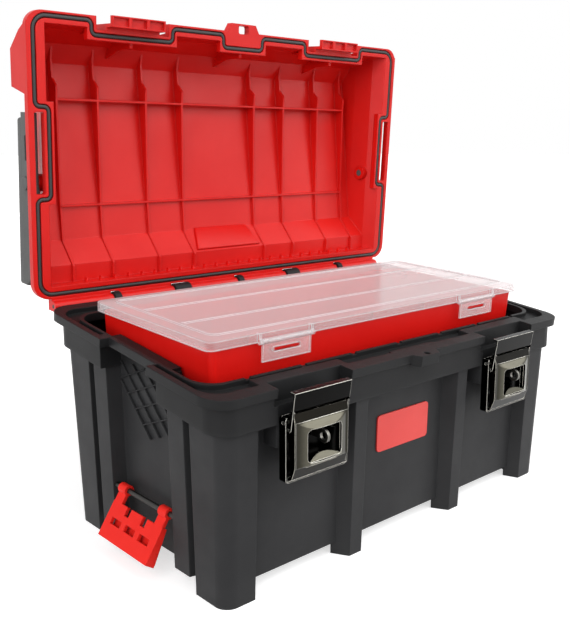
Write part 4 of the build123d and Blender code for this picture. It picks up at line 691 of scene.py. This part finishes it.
tree.links.new(slant.outputs["Facing"], cover_alpha.inputs["Value"])
thicker = tree.nodes.new("ShaderNodeMath")
thicker.operation = "MAXIMUM"
tree.links.new(cover_alpha.outputs["Result"], thicker.inputs[0])
tree.links.new(rim, thicker.inputs[1])
tree.links.new(thicker.outputs["Value"], skin.inputs["Alpha"])
dress(clear_moulding, "organiser_lid", "left_organiser_tab", "right_organiser_tab")

# Badge plate
# Plain gloss red plastic plate.
# It is set on the front panel between the middle pillars.
badge_gloss = moulded_plastic(
    "badge_gloss", (0.60, 0.024, 0.018), (0.66, 0.032, 0.024),
    grain=900, depth=0.00002, rough=0.22, edge=0.0006, gloss=0.5)
dress(badge_gloss, "front_badge")


# Floor
# A seamless sheet of matt white paper under the case.
# It looks white, also in metal and through the cover, and keeps the soft shadow of the case.
def seen_or_mirrored(tree):
    ray = tree.nodes.new("ShaderNodeLightPath")
    seen = ray.outputs["Is Camera Ray"]
    for kind in ("Is Transmission Ray", "Is Glossy Ray"):
        either = tree.nodes.new("ShaderNodeMath")
        either.operation = "MAXIMUM"
        tree.links.new(seen, either.inputs[0])
        tree.links.new(ray.outputs[kind], either.inputs[1])
        seen = either.outputs["Value"]
    return seen


floor_size, paper_glow = 60, 0.60
bpy.ops.mesh.primitive_plane_add(size=floor_size, location=(0, 0, 0))
floor = bpy.context.object
floor.name = "floor"
paper = bpy.data.materials.new("white_paper")
paper.use_nodes = True
tree = paper.node_tree
sheet = tree.nodes["Principled BSDF"]
sheet.inputs["Base Color"].default_value = (0.70, 0.70, 0.70, 1)
sheet.inputs["Roughness"].default_value = 0.9
sheet.inputs["Specular IOR Level"].default_value = 0.1
sheet.inputs["Emission Color"].default_value = (1, 1, 1, 1)
glow = tree.nodes.new("ShaderNodeMath")
glow.operation = "MULTIPLY"
glow.inputs[1].default_value = paper_glow
tree.links.new(seen_or_mirrored(tree), glow.inputs[0])
tree.links.new(glow.outputs["Value"], sheet.inputs["Emission Strength"])
floor.data.materials.append(paper)

# Light
# An even white room that lights the case weakly, with three broad lamps.
# The key stands at the front right, the fill at the left, and a weak lamp above.
room_light, room_white = 0.20, 1.0
room = bpy.data.worlds.new("white_room")
bpy.context.scene.world = room
room.use_nodes = True
tree = room.node_tree
back = tree.nodes["Background"]
back.inputs["Color"].default_value = (1, 1, 1, 1)
level = tree.nodes.new("ShaderNodeMapRange")
level.inputs["To Min"].default_value = room_light
level.inputs["To Max"].default_value = room_white
tree.links.new(seen_or_mirrored(tree), level.inputs["Value"])
tree.links.new(level.outputs["Result"], back.inputs["Strength"])

for lamp_name, aim, strength, spread in (
        ("key_lamp", (-0.50, 0.78, -0.60), 2.25, 64),
        ("fill_lamp", (0.90, 0.36, -0.42), 2.6, 60),
        ("top_lamp", (0.15, 0.25, -1.0), 0.5, 60)):
    lamp = bpy.data.lights.new(lamp_name, "SUN")
    lamp.energy = strength
    lamp.angle = math.radians(spread)
    holder = bpy.data.objects.new(lamp_name, lamp)
    holder.rotation_euler = Vector(aim).to_track_quat("-Z", "Y").to_euler()
    bpy.context.scene.collection.objects.link(holder)

# Camera
# It stands at the left front, a little above the rim.
# Its place, aim and focal length are found from the photo.
camera_place, camera_aim = (-0.5943, -0.6046, 0.3693), (0.65395, 0.73126, -0.19393)
view = bpy.data.cameras.new("view")
view.sensor_fit = "HORIZONTAL"
view.sensor_width = 36.0
view.lens = 52.434
eye = bpy.data.objects.new("view", view)
eye.location = camera_place
eye.rotation_euler = Vector(camera_aim).to_track_quat("-Z", "Y").to_euler()
bpy.context.scene.collection.objects.link(eye)
bpy.context.scene.camera = eye
bpy.context.scene.view_settings.view_transform = "Standard"
